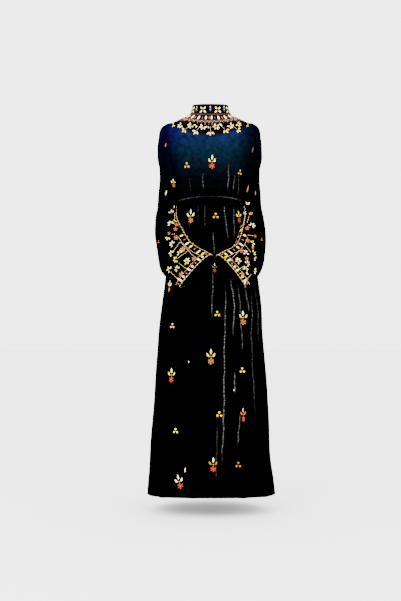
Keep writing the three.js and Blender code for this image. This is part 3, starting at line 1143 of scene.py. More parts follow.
def linear(hex_colour: str) -> Array:
    """The linear red, green and blue of an sRGB hex colour."""
    value = np.array([int(hex_colour[i : i + 2], 16) for i in (1, 3, 5)]) / 255
    return np.where(value <= 0.04045, value / 12.92, ((value + 0.055) / 1.055) ** 2.4)


def rgba(hex_colour: str) -> tuple[float, float, float, float]:
    """A linear colour with full alpha."""
    red, green, blue = (float(v) for v in linear(hex_colour))
    return red, green, blue, 1.0


def new_material(name: str) -> Material:
    """An empty node material.

    Args:
        name: Its name.

    Returns:
        The material.
    """
    material = bpy.data.materials.new(name)
    material.use_nodes = True
    material.node_tree.nodes.clear()
    return material


def mesh_object(
    name: str, vertices: Array, quads: Array, materials: list[Material]
) -> bpy.types.Object:
    """A smooth mesh object from arrays.

    Args:
        name: The object's name.
        vertices: Points in metres.
        quads: Four vertex numbers a face.
        materials: The object's materials.

    Returns:
        The linked object.
    """
    mesh = bpy.data.meshes.new(name)
    mesh.vertices.add(len(vertices))
    mesh.vertices.foreach_set("co", vertices.astype(np.float32).ravel())
    mesh.loops.add(quads.size)
    mesh.loops.foreach_set("vertex_index", quads.astype(np.int32).ravel())
    mesh.polygons.add(len(quads))
    mesh.polygons.foreach_set("loop_start", np.arange(0, quads.size, 4, dtype=np.int32))
    mesh.polygons.foreach_set("use_smooth", np.ones(len(quads), dtype=bool))
    mesh.update(calc_edges=True)
    for material in materials:
        mesh.materials.append(material)
    obj = bpy.data.objects.new(name, mesh)
    bpy.context.scene.collection.objects.link(obj)
    return obj


@dataclass(frozen=True)
class VelvetFinish:
    """Silk-viscose velvet, woven and cut: a dense short pile that drinks light, with a painted highlight
    where it bends.
    """

    name: str
    painted_glint: str = "#86847C"  # painted highlight colour along the crests of creases
    pile_mm: float = 0.8  # its tufts, drawn coarser than the real 0.3 mm so that they show
    mottle_mm: float = 16.0  # patches where the nap lies one way
    glint_mm: float = 6.0  # dots that the painted highlight breaks up into
    sheen: float = 0.003  # weight of the soft light along turned-away cloth

    def build(self) -> Material:
        """Makes the material.

        Returns:
            The material.
        """
        material = new_material(self.name)
        # This attribute is the cloth's dye with painted sheen over the chest and painted shade towards the
        # sides.
        dye_and_painted_light = add_node(material, "ShaderNodeAttribute", {}, attribute_name="dye_and_painted_light").outputs["Color"]
        painted_glint = add_node(material, "ShaderNodeAttribute", {}, attribute_name="painted_glint").outputs["Fac"]
        place = add_node(material, "ShaderNodeTexCoord", {}).outputs["Object"]
        mottle, pile, broken = (
            add_node(
                material, "ShaderNodeTexNoise", {"Vector": place, "Scale": 1 / (size * MM), "Detail": detail}
            )
            for size, detail in ((self.mottle_mm, 5.0), (self.pile_mm, 2.0), (self.glint_mm, 2.0))
        )
        dots = add_node(
            material,
            "ShaderNodeMapRange",
            {"Value": broken.outputs["Fac"], "From Min": 0.44, "From Max": 0.62, "To Min": 0.12},
        )
        glint = add_node(
            material, "ShaderNodeMath", {"0": painted_glint, "1": dots.outputs["Result"]}, operation="MULTIPLY"
        )
        nap = add_node(
            material,
            "ShaderNodeMapRange",
            {"Value": mottle.outputs["Fac"], "From Min": 0.3, "From Max": 0.7, "To Min": 0.5, "To Max": 1.6},
        )
        shaded = add_node(
            material, "ShaderNodeVectorMath", {"0": dye_and_painted_light, "Scale": nap.outputs["Result"]}, operation="SCALE"
        )
        # Painted highlight: a pale colour mixed over the cloth's colour along crease crests.
        colour = add_node(
            material,
            "ShaderNodeMix",
            {"Factor": glint.outputs[0], "6": shaded.outputs["Vector"], "7": rgba(self.painted_glint)},
            data_type="RGBA",
        )
        grain = add_node(
            material, "ShaderNodeBump", {"Height": pile.outputs["Fac"], "Strength": 0.35, "Distance": 0.0004}
        )
        bump = add_node(
            material,
            "ShaderNodeBump",
            {
                "Height": mottle.outputs["Fac"],
                "Strength": 0.25,
                "Distance": 0.0012,
                "Normal": grain.outputs[0],
            },
        )
        shader = add_node(
            material,
            "ShaderNodeBsdfPrincipled",
            {
                "Base Color": colour.outputs[2],
                "Roughness": 0.95,
                "Specular IOR Level": 0.0,
                "Sheen Weight": self.sheen,
                "Sheen Roughness": 0.45,
                "Sheen Tint": rgba("#5C7088"),
                "Normal": bump.outputs[0],
            },
        )
        add_node(material, "ShaderNodeOutputMaterial", {"Surface": shader.outputs[0]})
        return material


BAND = 0.314  # scale at which a light band and a dark one each take one unit along x or y


@dataclass(frozen=True)
class ThreadFinish:
    """Satin stitch in silk or metallic thread, laid side by side: a soft shine ribbed by the stitches, with
    painted shade between them.
    """

    colour: str
    metallic: float = 0.0  # how much of it is metal-wrapped
    roughness: float = 0.5
    stitch_mm: float = 1.1  # width of a stitch, drawn coarser than the real 0.3 mm so that it shows

    def build(self, name: str) -> Material:
        """Makes the material.

        Args:
            name: The material's name.

        Returns:
            The material.
        """
        material = new_material(name)
        laid = add_node(material, "ShaderNodeUVMap", {}, uv_map="stitch_mm").outputs["UV"]
        stitches = add_node(
            material,
            "ShaderNodeTexWave",
            {"Vector": laid, "Scale": BAND / self.stitch_mm, "Distortion": 0.6, "Detail": 1.0},
            bands_direction="DIAGONAL",
        )
        # The stitch bands darken the colour: painted shade between the stitches.
        shade = add_node(
            material,
            "ShaderNodeMapRange",
            {"Value": stitches.outputs["Fac"], "To Min": 0.74, "To Max": 1.0},
        )
        tinted = add_node(
            material,
            "ShaderNodeVectorMath",
            {"0": rgba(self.colour)[:3], "Scale": shade.outputs["Result"]},
            operation="SCALE",
        )
        bump = add_node(
            material,
            "ShaderNodeBump",
            {"Height": stitches.outputs["Fac"], "Strength": 0.5, "Distance": 0.0003},
        )
        shader = add_node(
            material,
            "ShaderNodeBsdfPrincipled",
            {
                "Base Color": tinted.outputs["Vector"],
                "Metallic": self.metallic,
                "Roughness": self.roughness,
                "Specular IOR Level": 0.12,
                "Normal": bump.outputs[0],
            },
        )
        add_node(material, "ShaderNodeOutputMaterial", {"Surface": shader.outputs[0]})
        return material


THREAD_FINISHES = {
    Thread.IVORY: ThreadFinish("#FFF2AC"),
    Thread.CREAM: ThreadFinish("#F8E47C"),
    Thread.PALE_GOLD: ThreadFinish("#DCC634", 0.15, 0.42),
    Thread.GOLD: ThreadFinish("#C08A20", 0.25, 0.4),
    Thread.ORANGE: ThreadFinish("#9A5E22"),
    Thread.CORAL: ThreadFinish("#965028"),
    Thread.RED: ThreadFinish("#9C2808"),
    Thread.ROSE: ThreadFinish("#8A584A"),
    Thread.MAUVE: ThreadFinish("#4A363E"),
    Thread.BLUE: ThreadFinish("#181E50"),
    Thread.STEEL: ThreadFinish("#4A5268", 0.2, 0.35),
    Thread.IVORY_BEAD: ThreadFinish("#FFEFB0", 0.0, 0.25),
    Thread.GOLD_BEAD: ThreadFinish("#C89434", 0.4, 0.3),
    Thread.ROSE_BEAD: ThreadFinish("#8A4E4A", 0.1, 0.3),
}
MIDNIGHT = VelvetFinish("midnight_velvet")
BLACK = VelvetFinish("black_velvet", sheen=0.002)

# The colour down the garment: midnight blue over the chest, partly the velvet's own dark navy and partly
# painted sheen where the light falls on the chest, black below the ribs and under the embroidery.
DYE_AND_SHEEN = table("""
z red green blue
-10 0.002 0.004 0.027
-60 0.0034 0.0044 0.031
-100 0.0024 0.0046 0.021
-150 0.0011 0.0048 0.0105
-205 0.0008 0.0022 0.0044
-260 0.0004 0.0006 0.0012
-330 0.0002 0.0002 0.0004
-1600 0.0002 0.0002 0.0003
""")
# Painted shade towards the sides and over the sleeves, where the colour darkens by a share of each colour:
# past a distance from the centre line, over a width, towards the wearer's right (-1) or left (1), or both
# ways (0).
PAINTED_SIDE_SHADE = table("""
side from_x width red green blue
-1 95 55 0.45 0.75 0.35
1 85 65 0.7 0.7 0.8
0 148 30 0.7 0.7 0.7
""")
# Near black over the yoke round the neck: the dark area's lower edge rises towards the armholes, and it ends
# softly past them.
NECK_DARK = np.array([0.0008, 0.0005, 0.0008])
NECK_DARK_EDGE_Z, NECK_DARK_RISE, NECK_DARK_SOFT = -107.0, 46.0, 18.0
NECK_DARK_END, NECK_DARK_END_SOFT = 170.0, 25.0
DARKEST = 0.0002


def dye_and_painted_light_colours(points: Array) -> Array:
    """The colour at each point of a piece, by where it lies on the garment: dye with painted sheen and
    painted shade.

    Args:
        points: Points in metres.

    Returns:
        Linear colours with alpha.
    """
    x, z = points[:, 0] / MM, points[:, 2] / MM
    # Midnight blue over the chest, partly the cloth's own tone and partly painted sheen, fading to black.
    colours = np.stack([np.interp(-z, -DYE_AND_SHEEN["z"], DYE_AND_SHEEN[name]) for name in ("red", "green", "blue")], axis=-1)
    # Painted shade towards the sides and over the sleeves.
    for side, from_x, width, *share in zip(*PAINTED_SIDE_SHADE.values()):
        away = side * x if side else np.abs(x)
        colours = colours * (1 - ease((away - from_x) / width)[:, None] * np.array(share))
    # Near black over the yoke, above an edge that rises towards the armholes.
    edge = NECK_DARK_EDGE_Z + NECK_DARK_RISE * np.clip(np.abs(x) / ARMHOLE, 0, 1) ** 1.5
    neck_dark = ease((z - edge) / NECK_DARK_SOFT) * ease((NECK_DARK_END - np.abs(x)) / NECK_DARK_END_SOFT)
    colours += (NECK_DARK - colours) * neck_dark[:, None]
    colours = np.maximum(colours, DARKEST)
    return np.concatenate([colours, np.ones((len(points), 1))], axis=1)


def cloth_object(
    name: str, cloth: ClothSurface, material: Material, thickness: float = CLOTH
) -> bpy.types.Object:
    """A closed shell of cloth from its outer surface.

    Args:
        name: The object's name.
        cloth: The outer surface.
        material: Its velvet.
        thickness: Thickness in millimetres.

    Returns:
        The object, with its colour (dye with painted sheen and shade) and its painted crease highlight as
        attributes.
    """
    rows, columns = cloth.points.shape[:2]
    outer = cloth.points.reshape(-1, 3)
    inner = (cloth.points - cloth.normals * thickness * MM).reshape(-1, 3)
    spans = columns if cloth.closed else columns - 1
    i, j = np.meshgrid(np.arange(rows - 1), np.arange(spans), indexing="ij")
    after = (j + 1) % columns
    upper, lower = i * columns, (i + 1) * columns
    face = np.stack([upper + j, upper + after, lower + after, lower + j], -1).reshape(-1, 4)
    corner = cloth.points[0, 0], cloth.points[0, 1], cloth.points[1, 0]
    outward = np.cross(corner[1] - corner[0], corner[2] - corner[0]) @ cloth.normals[0, 0] > 0
    if not outward:
        face = face[:, ::-1]
    back = face[:, ::-1] + rows * columns
    start = np.arange(spans)
    rims = []
    for row, turned in ((0, outward), (rows - 1, not outward)):
        a, b = row * columns + start, row * columns + (start + 1) % columns
        rim = np.stack([b, a, a + rows * columns, b + rows * columns], -1)
        rims.append(rim if turned else rim[:, ::-1])
    if not cloth.closed:
        down = np.arange(rows - 1) * columns
        for column, turned in ((0, outward), (columns - 1, not outward)):
            a, b = down + column, down + columns + column
            rim = np.stack([a, b, b + rows * columns, a + rows * columns], -1)
            rims.append(rim if turned else rim[:, ::-1])
    points = np.concatenate([outer, inner])
    obj = mesh_object(name, points, np.concatenate([face, back, *rims]), [material])
    # Dye with painted sheen over the chest and painted shade towards the sides.
    dye_and_painted_light = obj.data.attributes.new("dye_and_painted_light", "FLOAT_COLOR", "POINT")
    dye_and_painted_light.data.foreach_set("color", dye_and_painted_light_colours(points).astype(np.float32).ravel())
    painted_glint = obj.data.attributes.new("painted_glint", "FLOAT", "POINT")
    # Painted highlight along crease crests, on the outer side only.
    pile = np.concatenate([cloth.shine.ravel(), np.zeros(rows * columns)])
    painted_glint.data.foreach_set("value", pile.astype(np.float32))
    return obj


# ---- embroidery
LEAF_CROWN, PETAL_CROWN, DROP_CROWN = 1.5, 1.4, 1.7
VEIN = 0.3  # share of a leaf's height that its middle vein sinks
SUNK = 0.25  # how far the rim of a patch lies in the pile
WOBBLE = 8.0  # degrees that a leaf or petal strays to either side of its even place
LEAF_GAP = 3.4  # from the middle of a cluster to the foot of each leaf
WIDEST_LEAF, LEAF_SLIMNESS = 6.4, 0.48
EDGE_ROW = 0.6  # rows and columns that a motif's middle keeps from the edge of its cloth


@dataclass(frozen=True)
class Patch:
    """One raised block of thread, flat: x across, y along from its base, and its height, in millimetres."""

    flat: Array
    height: Array
    quads: Array


def satin(outline: Outline, length: float, width: float, crown: float, bend: float = 0.0) -> Patch:
    """A domed block of satin stitch.

    Args:
        outline: Its shape.
        length: From base to tip.
        width: At its widest.
        crown: Height at the middle.
        bend: Sideways bow of its middle line.

    Returns:
        The patch.
    """
    steps = {Outline.LEAF: 7, Outline.DROP: 7, Outline.BAR: 5, Outline.BEAD: 4}[outline]
    t = np.linspace(0, 1, steps + 1)[:, None]
    u = np.linspace(-1, 1, 5)[None, :]
    if outline is Outline.LEAF:
        spread = np.sin(math.pi * t**0.9) ** 0.95
    elif outline is Outline.DROP:
        spread = np.sin(math.pi * np.clip(t, 0, 1) ** 1.7) ** 0.6 * 0.98 + 0.02
    elif outline is Outline.BAR:
        spread = (1 - np.abs(2 * t - 1) ** 7) ** 0.5
    else:
        spread = (1 - (2 * t - 1) ** 2) ** 0.5
    spread = np.clip(np.nan_to_num(spread), 0, 1)
    x = u * spread * width / 2 + bend * np.sin(math.pi * t)
    y = t * length + np.zeros_like(u)
    groove = VEIN * (np.abs(u) < 0.1) if outline is Outline.LEAF else 0.0
    height = crown * (1 - np.abs(u) ** 2.2) * (1 - groove) * np.clip(spread * 1.25, 0, 1) ** 0.7 - SUNK
    columns = u.size
    i, j = np.meshgrid(np.arange(steps), np.arange(columns - 1), indexing="ij")
    first = (i * columns + j).ravel()
    quads = np.stack([first, first + 1, first + columns + 1, first + columns], axis=-1)
    return Patch(np.stack([x, y], -1).reshape(-1, 2), height.ravel(), quads)


@dataclass
class Place:
    """A spot on a piece of cloth with its own upward direction."""

    cloth: ClothSurface
    row: float
    column: float
    up: Array  # unit tangent that a motif's y follows

    @classmethod
    def seen(cls, cloth: ClothSurface, view: Viewpoint, x: float, z: float, heading: float = 0.0) -> "Place":
        """The place that is seen at x and z.

        Args:
            cloth: The cloth.
            view: Where it is seen from.
            x: Millimetres from the centre line.
            z: Millimetres up.
            heading: Degrees clockwise from straight up.

        Returns:
            The place.
        """
        row, column = cloth.find(view, x, z)
        angle = math.radians(heading)
        towards = np.array([math.sin(angle), 0.0, math.cos(angle)])
        return cls(cloth, row, column, towards).levelled()

    def levelled(self) -> "Place":
        """Lays the direction along the cloth.

        Returns:
            The same place, levelled.
        """
        _, normal = self.cloth.read(np.array(self.row), np.array(self.column))
        up = self.up - normal * (self.up @ normal)
        return Place(self.cloth, self.row, self.column, up / (np.linalg.norm(up) + 1e-12))

    def basis(self) -> tuple[Array, Array, Array]:
        """How the cloth's grid lies here.

        Returns:
            A step to the next row, a step to the next column, and the motif's x direction.
        """
        rows = np.array([self.row, self.row + 0.5, self.row - 0.5, self.row, self.row])
        columns = np.array([self.column, self.column, self.column, self.column + 0.5, self.column - 0.5])
        points, normals = self.cloth.read(rows, columns)
        return points[1] - points[2], points[3] - points[4], np.cross(self.up, normals[0])

    def turned(self, degrees: float) -> "Place":
        """The same place with its direction turned clockwise as seen from outside."""
        cosine, sine = math.cos(math.radians(degrees)), math.sin(math.radians(degrees))
        return Place(self.cloth, self.row, self.column, self.up * cosine + self.basis()[2] * sine)

    def grid_places(self, flat: Array) -> tuple[Array, Array]:
        """Lays flat points on the cloth round this place, without stretching.

        Args:
            flat: Points in millimetres, x across and y upwards.

        Returns:
            Their rows and columns.
        """
        down, across, right = self.basis()
        offset = (flat[:, :1] * right + flat[:, 1:] * self.up) * MM
        gram = np.array([[down @ down, down @ across], [down @ across, across @ across]])
        steps = np.linalg.solve(gram, np.stack([offset @ down, offset @ across]))
        return self.row + steps[0], self.column + steps[1]

    def moved(self, x: float, y: float) -> "Place":
        """A place near this one, heading the same way.

        Args:
            x: Millimetres across.
            y: Millimetres upwards.

        Returns:
            The place.
        """
        rows, columns = self.grid_places(np.array([[x, y]]))
        last_row, last_column = (count - 1 for count in self.cloth.points.shape[:2])
        row, column = float(np.clip(rows[0], EDGE_ROW, last_row - EDGE_ROW)), float(columns[0])
        if not self.cloth.closed:
            column = float(np.clip(column, EDGE_ROW, last_column - EDGE_ROW))
        return Place(self.cloth, row, column, self.up).levelled()


@dataclass
class Embroidery:
    """Thread and beads worked on the cloth, gathered into one piece."""

    name: str
    seed: int = 1  # of the small differences between stitches
    points: list[Array] = field(default_factory=list)
    quads: list[Array] = field(default_factory=list)
    laid: list[Array] = field(default_factory=list)
    threads: list[Array] = field(default_factory=list)
    count: int = 0
    chance: np.random.Generator = field(init=False)
    names: list[Thread] = field(init=False)

    def __post_init__(self) -> None:
        """Starts the piece's own run of small differences."""
        self.chance = np.random.default_rng(self.seed)
        self.names = list(Thread)

    def work(self, place: Place, patch: Patch, thread: Thread) -> None:
        """Lays one patch on the cloth.

        Args:
            place: Its base.
            patch: Its shape.
            thread: What it is worked in.
        """
        rows, columns = place.grid_places(patch.flat)
        points, normals = place.cloth.read(rows, columns)
        self.points.append(points + normals * patch.height[:, None] * MM)
        self.quads.append(patch.quads + self.count)
        self.laid.append(patch.flat)
        self.threads.append(np.full(len(patch.quads), self.names.index(thread)))
        self.count += len(patch.flat)

    def leaf(
        self, place: Place, length: float, width: float, bend: float = 0.0, thread: Thread | None = None
    ) -> None:
        """One leaf, in ivory, cream or pale gold unless a thread is given."""
        pale = PALE_THREADS[int(self.chance.choice(len(PALE_THREADS)))]
        self.work(place, satin(Outline.LEAF, length, width, LEAF_CROWN, bend), thread or pale)

    def bead(self, place: Place, size: float, thread: Thread) -> None:
        """One seed bead, centred on the place."""
        bead = satin(Outline.BEAD, size, size, size * 0.55)
        self.work(place, Patch(bead.flat - [0, size / 2], bead.height, bead.quads), thread)

    def flower(self, place: Place, size: float, petal: Thread, petals: int = 5) -> None:
        """A flower of drop-shaped petals round a gold bead.

        Args:
            place: Its middle.
            size: From tip to tip.
            petal: The petals' thread.
            petals: How many.
        """
        length, width = size * 0.42, size * (1.45 / petals + 0.03)
        for i in range(petals):
            towards = place.turned(360 * i / petals + float(self.chance.uniform(-WOBBLE, WOBBLE)))
            self.work(towards.moved(0, size * 0.09), satin(Outline.DROP, length, width, PETAL_CROWN), petal)
        self.bead(place, size * 0.2, Thread.GOLD_BEAD)

    def cluster(self, place: Place, leaves: int, size: float) -> None:
        """Leaves that stand apart round one point, the first of them along the place's direction.

        Args:
            place: Where they meet.
            leaves: How many.
            size: From there to each tip.
        """
        for heading in LEAF_SPREADS[leaves]:
            towards = place.turned(heading + float(self.chance.uniform(-WOBBLE, WOBBLE)))
            gap = LEAF_GAP if leaves > 1 else -size / 2
            length = (size - max(gap, 0)) * float(self.chance.uniform(0.88, 1.06))
            self.leaf(towards.moved(0, gap), length, min(length * LEAF_SLIMNESS, WIDEST_LEAF))

    def sprig(self, place: Place, size: float, flower: Thread, leaves: Thread = Thread.CREAM) -> None:
        """Three leaves and a small one over a flower.

        Args:
            place: Its middle.
            size: 1 is 56 mm tall.
            flower: The flower's thread.
            leaves: The thread of the two side leaves.
        """
        threads = (None, leaves, leaves, Thread.GOLD)
        for (x, y, heading, length, width, bend), thread in zip(SPRIG_LEAVES, threads):
            foot = place.moved(x * size, y * size).turned(heading)
            self.leaf(foot, length * size, width * size, bend, thread)
        self.flower(place.moved(0, -15.5 * size), 23 * size, flower, 6)

    def trefoil(self, place: Place, size: float, thread: Thread = Thread.GOLD) -> None:
        """Three drops that meet.

        Args:
            place: Where they meet.
            size: 1 is 23 mm across.
            thread: What they are worked in.
        """
        for heading in (0, 122, -122):
            drop = satin(Outline.DROP, 10.6 * size, 9.6 * size, DROP_CROWN)
            self.work(place.turned(heading).moved(0, 2.8 * size), drop, thread)

    def cord(self, path: list[Pair], cloth: ClothSurface, size: float, order: Sequence[Thread]) -> None:
        """A line of couched beads along a path of rows and columns.

        Args:
            path: Fractional rows and columns.
            cloth: The cloth it lies on.
            size: Length of a bead.
            order: The threads that follow one another.
        """
        fine = np.array(path, float)
        if cloth.closed:
            fine[:, 1] = np.unwrap(fine[:, 1], period=cloth.points.shape[1])
        share = np.linspace(0, len(fine) - 1, 24 * len(fine))
        rows = np.interp(share, np.arange(len(fine)), fine[:, 0])
        columns = np.interp(share, np.arange(len(fine)), fine[:, 1])
        points, _ = cloth.read(rows, columns)
        run = run_along(points)
        beads = max(int(run[-1] / (size * 1.06)), 1)
        for i, distance in enumerate(np.linspace(0, run[-1], beads + 1)[:-1]):
            ahead = np.array([distance, distance + 1])
            row_pair, column_pair = np.interp(ahead, run, rows), np.interp(ahead, run, columns)
            here, there = cloth.read(row_pair, column_pair)[0]
            way = there - here
            if np.linalg.norm(way) < 1e-9:
                continue
            place = Place(cloth, row_pair[0], column_pair[0], way / np.linalg.norm(way)).levelled()
            self.work(place, satin(Outline.BEAD, size, size * 0.82, size * 0.42), order[i % len(order)])

    def build(self) -> bpy.types.Object:
        """Gathers all that was worked into one piece.

        Returns:
            The piece.
        """
        used = sorted({int(thread) for block in self.threads for thread in np.unique(block)})
        materials = [THREADS[self.names[index]] for index in used]
        obj = mesh_object(self.name, np.concatenate(self.points), np.concatenate(self.quads), materials)
        slots = np.searchsorted(used, np.concatenate(self.threads)).astype(np.int32)
        obj.data.polygons.foreach_set("material_index", slots)
        corners = np.concatenate(self.laid)[np.concatenate(self.quads).ravel()]
        layer = obj.data.uv_layers.new(name="stitch_mm")
        layer.data.foreach_set("uv", corners.astype(np.float32).ravel())
        return obj


THREADS: dict[Thread, Material] = {}
# Headings of the leaves of one cluster, by how many there are.
LEAF_SPREADS = {
    1: (0,),
    2: (-30, 36),
    3: (0, -62, 58),
    4: (-30, 32, -96, 100),
    5: (0, -52, 54, -108, 112),
    6: (0, -50, 52, -104, 106, 176),
}
# What a leaf is worked in unless a thread is given, each as often as it stands here.
PALE_THREADS = (Thread.IVORY, Thread.IVORY, Thread.CREAM, Thread.CREAM, Thread.PALE_GOLD)
# The leaves of a sprig: x and y of the foot, heading, length, width and bow.
SPRIG_LEAVES = (
    (0, 9, 0, 20, 7.6, 0.0),
    (-6, 0, -34, 18, 7.4, -1.5),
    (6, 0, 32, 17, 7.4, 1.5),
    (0, -2, 0, 7, 4, 0.0),
)
FRONT_VIEW = Viewpoint(Side.FRONT)
BACK_VIEW = Viewpoint(Side.BACK)


def settle(obj: bpy.types.Object, nodes: tuple[str, ...] = ()) -> None:
    """Fastens a piece to the frame.

    Args:
        obj: The piece.
        nodes: The solids that it stands for.
    """
    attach(obj, "root")
    if nodes:
        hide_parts(*nodes)
    LOG.info("%s: %d faces", obj.name, len(obj.data.polygons))


@dataclass
class Panels:
    """The front and the two back panels of one part of the garment."""

    form: BodyForm
    part: str
    top: float
    bottom: float
    rows: int
    columns: tuple[int, int]  # in front, and in each back panel
    folds: tuple[Table, Table]  # in front and behind
    flats: tuple[Pair, Pair]  # what the front and each back panel are cut from, in metres
    slot: str  # the record's material slot
    held: str
    rests_on: str
    front: ClothSurface = field(init=False)
    back_right: ClothSurface = field(init=False)
    back_left: ClothSurface = field(init=False)

    def __post_init__(self) -> None:
        """Shapes the cloth."""
        self.front = self._panel(Side.FRONT, -1, 1)
        self.back_right = self._panel(Side.BACK, -1, 0)
        self.back_left = self._panel(Side.BACK, 0, 1)

    def _panel(self, side: Side, start: float, stop: float) -> ClothSurface:
        """Shapes one panel.

        Args:
            side: Front or back.
            start: `at` of its edge nearer the wearer's right.
            stop: `at` of its other edge.

        Returns:
            The cloth.
        """
        behind = int(side is Side.BACK)
        columns, folds = self.columns[behind], self.folds[behind]
        creases = (FRONT_CREASES, BACK_CREASES)[behind]
        span = self.top, self.bottom, self.rows
        return BodyPanel(self.form, side, start, stop, *span, columns, folds, creases).surface()

    def under(self, side: Side, x: float) -> ClothSurface:
        """The panel that lies under a place.

        Args:
            side: Front or back.
            x: Millimetres from the centre line.

        Returns:
            The panel.
        """
        if side is Side.FRONT:
            return self.front
        return self.back_left if x > 0 else self.back_right

    def build(self, velvet: Material) -> None:
        """Makes the panels.

        Args:
            velvet: Their velvet.
        """
        front, back = self.flats
        for end, cloth, flat in (
            ("front", self.front, front),
            ("back_right", self.back_right, back),
            ("back_left", self.back_left, back),
        ):
            obj = cloth_object(f"{self.part}_{end}_velvet", cloth, velvet)
            settle(obj, (f"{self.part}_{end}",))


@dataclass
class Bodice(Panels):
    """The bodice, from the neck seam to the waist seam."""

    part: str = "bodice"
    top: float = 0.0
    bottom: float = WAIST_Z
    rows: int = 92
    columns: tuple[int, int] = (250, 100)
    folds: tuple[Table, Table] = (BODICE_FOLDS, BODICE_FOLDS)
    flats: tuple[Pair, Pair] = ((0.47, 0.42), (0.25, 0.42))
    slot: str = "midnight_velvet"
    held: str = "hung"
    rests_on: str = "collar_band"


@dataclass
class Skirt(Panels):
    """The skirt, gathered to the waist seam and open at the hem."""

    part: str = "skirt"
    top: float = WAIST_Z
    bottom: float = HEM_Z
    rows: int = 112
    columns: tuple[int, int] = (410, 150)
    folds: tuple[Table, Table] = (FRONT_FOLDS, BACK_FOLDS)
    flats: tuple[Pair, Pair] = ((0.74, 1.18), (0.42, 1.19))
    slot: str = "black_velvet"
    held: str = "gathered"
    rests_on: str = "waist_sash"


@dataclass
class Sleeve:
    """One sleeve with its embroidered cuff."""

    form: BodyForm
    hand: int  # -1 on the wearer's right, 1 on the left
    clusters: Table
    flowers: Table
    lines: Table  # trellis and stems, by their two ends
    border: float = 25.0  # width of the ladder border
    pitch: float = 17.5  # from one of its bars to the next along the upper edge
    reach: float = 158.0  # how far back from the rim it runs along that edge
    edge_inset: float = 2.0  # from the rim to the cord that follows it
    edge_bead: float = 3.6
    inner_bead: float = 2.2
    stem_bead: float = 2.5
    hidden_shift: float = 3.0  # columns that the hidden side's motifs sit further round
    side: str = field(init=False)
    cloth: ClothSurface = field(init=False)
    work: Embroidery = field(init=False)

    def __post_init__(self) -> None:
        """Shapes the cloth."""
        self.cloth = SleeveForm(self.form, self.hand).surface()
        self.side = "left" if self.hand > 0 else "right"
        self.work = Embroidery(f"cuff_embroidery_{self.side}", seed=11 + self.hand)

    def build(self, velvet: Material) -> None:
        """Makes the sleeve and its embroidery.

        Args:
            velvet: Its velvet.
        """
        obj = cloth_object(f"sleeve_{self.side}_velvet", self.cloth, velvet)
        settle(obj, (f"sleeve_{self.side}_front", f"sleeve_{self.side}_back"))
        self._edges()
        self._garden()
        settle(self.work.build())

    def _column(self, degrees: float) -> float:
        """The column at an angle round the sleeve."""
        return degrees / 360 * self.cloth.points.shape[1]

    def _row(self, section: float) -> float:
        """The row at a section along the sleeve."""
        return section / len(SLEEVE_SECTIONS["lean"]) * (self.cloth.points.shape[0] - 1)

    def _from_rim(self, degrees: float, distance: float) -> float:
        """The row that lies back from the rim.

        Args:
            degrees: Where round the sleeve.
            distance: Millimetres from the rim.

        Returns:
            The row.
        """
        rows = np.linspace(0, self.cloth.points.shape[0] - 1.01, 400)
        run = run_along(self.cloth.read(rows, np.full_like(rows, self._column(degrees)))[0])
        return float(np.interp(run[-1] - distance, run, rows))

    def _from_edge(self, row: float, distance: float, way: int) -> float:
        """The angle that lies round from the upper edge.

        Args:
            row: Where along the sleeve.
            distance: Millimetres from the edge.
            way: 1 to the front, -1 to the back.

        Returns:
            The angle in degrees.
        """
        degrees = np.linspace(0, 170, 200)
        run = run_along(self.cloth.read(np.full_like(degrees, row), self._column(way * degrees))[0])
        return way * float(np.interp(distance, run, degrees))

    def _edges(self) -> None:
        """Beaded cords and the ladder of bars along the rim and the upper edge."""
        edge_order = [Thread.GOLD_BEAD, Thread.IVORY_BEAD, Thread.PALE_GOLD, Thread.ROSE_BEAD]
        inner_order = [Thread.ROSE_BEAD, Thread.ROSE_BEAD, Thread.IVORY_BEAD]
        for distance, bead, order in (
            (self.edge_inset, self.edge_bead, edge_order),
            (self.border, self.inner_bead, inner_order),
        ):
            ring = [(self._from_rim(d, distance), self._column(d)) for d in np.linspace(0, 360, 60)]
            self.work.cord(ring, self.cloth, bead, order)
        rows = np.linspace(self._from_rim(0, self.reach), self._from_rim(0, self.border), 14)
        for way in (1, -1):
            if way > 0:
                upper = np.linspace(self._row(10.0), self._from_rim(0, self.edge_inset), 20)
                line = [(r, self._column(self._from_edge(r, 2.5, way))) for r in upper]
                self.work.cord(line, self.cloth, 3.2, edge_order)
            inner = [(r, self._column(self._from_edge(r, self.border + 7, way))) for r in rows]
            self.work.cord(inner, self.cloth, self.inner_bead, inner_order)
            self._edge_bars(rows, way)
        self._rim_bars()

    def _edge_bars(self, rows: Array, way: int) -> None:
        """Bars and leaves that run down from the upper edge.

        Args:
            rows: Rows that the border runs along.
            way: 1 for the front, -1 for the back.
        """
        length = run_along(self.cloth.read(rows, np.full_like(rows, self._column(8)))[0])[-1]
        for i, row in enumerate(np.linspace(rows[-1], rows[0], int(length / self.pitch))):
            near = self._column(self._from_edge(row, 9.0, way))
            far = self._column(self._from_edge(row, self.border + 2, way))
            self._bar((row, near), (row, far), i + 1)

    def _rim_bars(self) -> None:
        """Bars and leaves that run back from the rim, all round."""
        for way in (1, -1):
            for i, share in enumerate(np.linspace(0.07, 0.95, 10)):
                degrees = self._even_degrees(share) * way
                column = self._column(degrees)
                near, far = self._from_rim(degrees, 5.5), self._from_rim(degrees, self.border - 2)
                self._bar((near, column), (far, column), i)

    def _even_degrees(self, share: float) -> float:
        """The angle at an even share of the rim.

        Args:
            share: Share of the way from its upper to its lower edge.

        Returns:
            The angle in degrees.
        """
        degrees = np.linspace(0, 180, 200)
        last = np.full_like(degrees, self.cloth.points.shape[0] - 2.0)
        run = run_along(self.cloth.read(last, self._column(degrees))[0])
        return float(np.interp(share * run[-1], run, degrees))

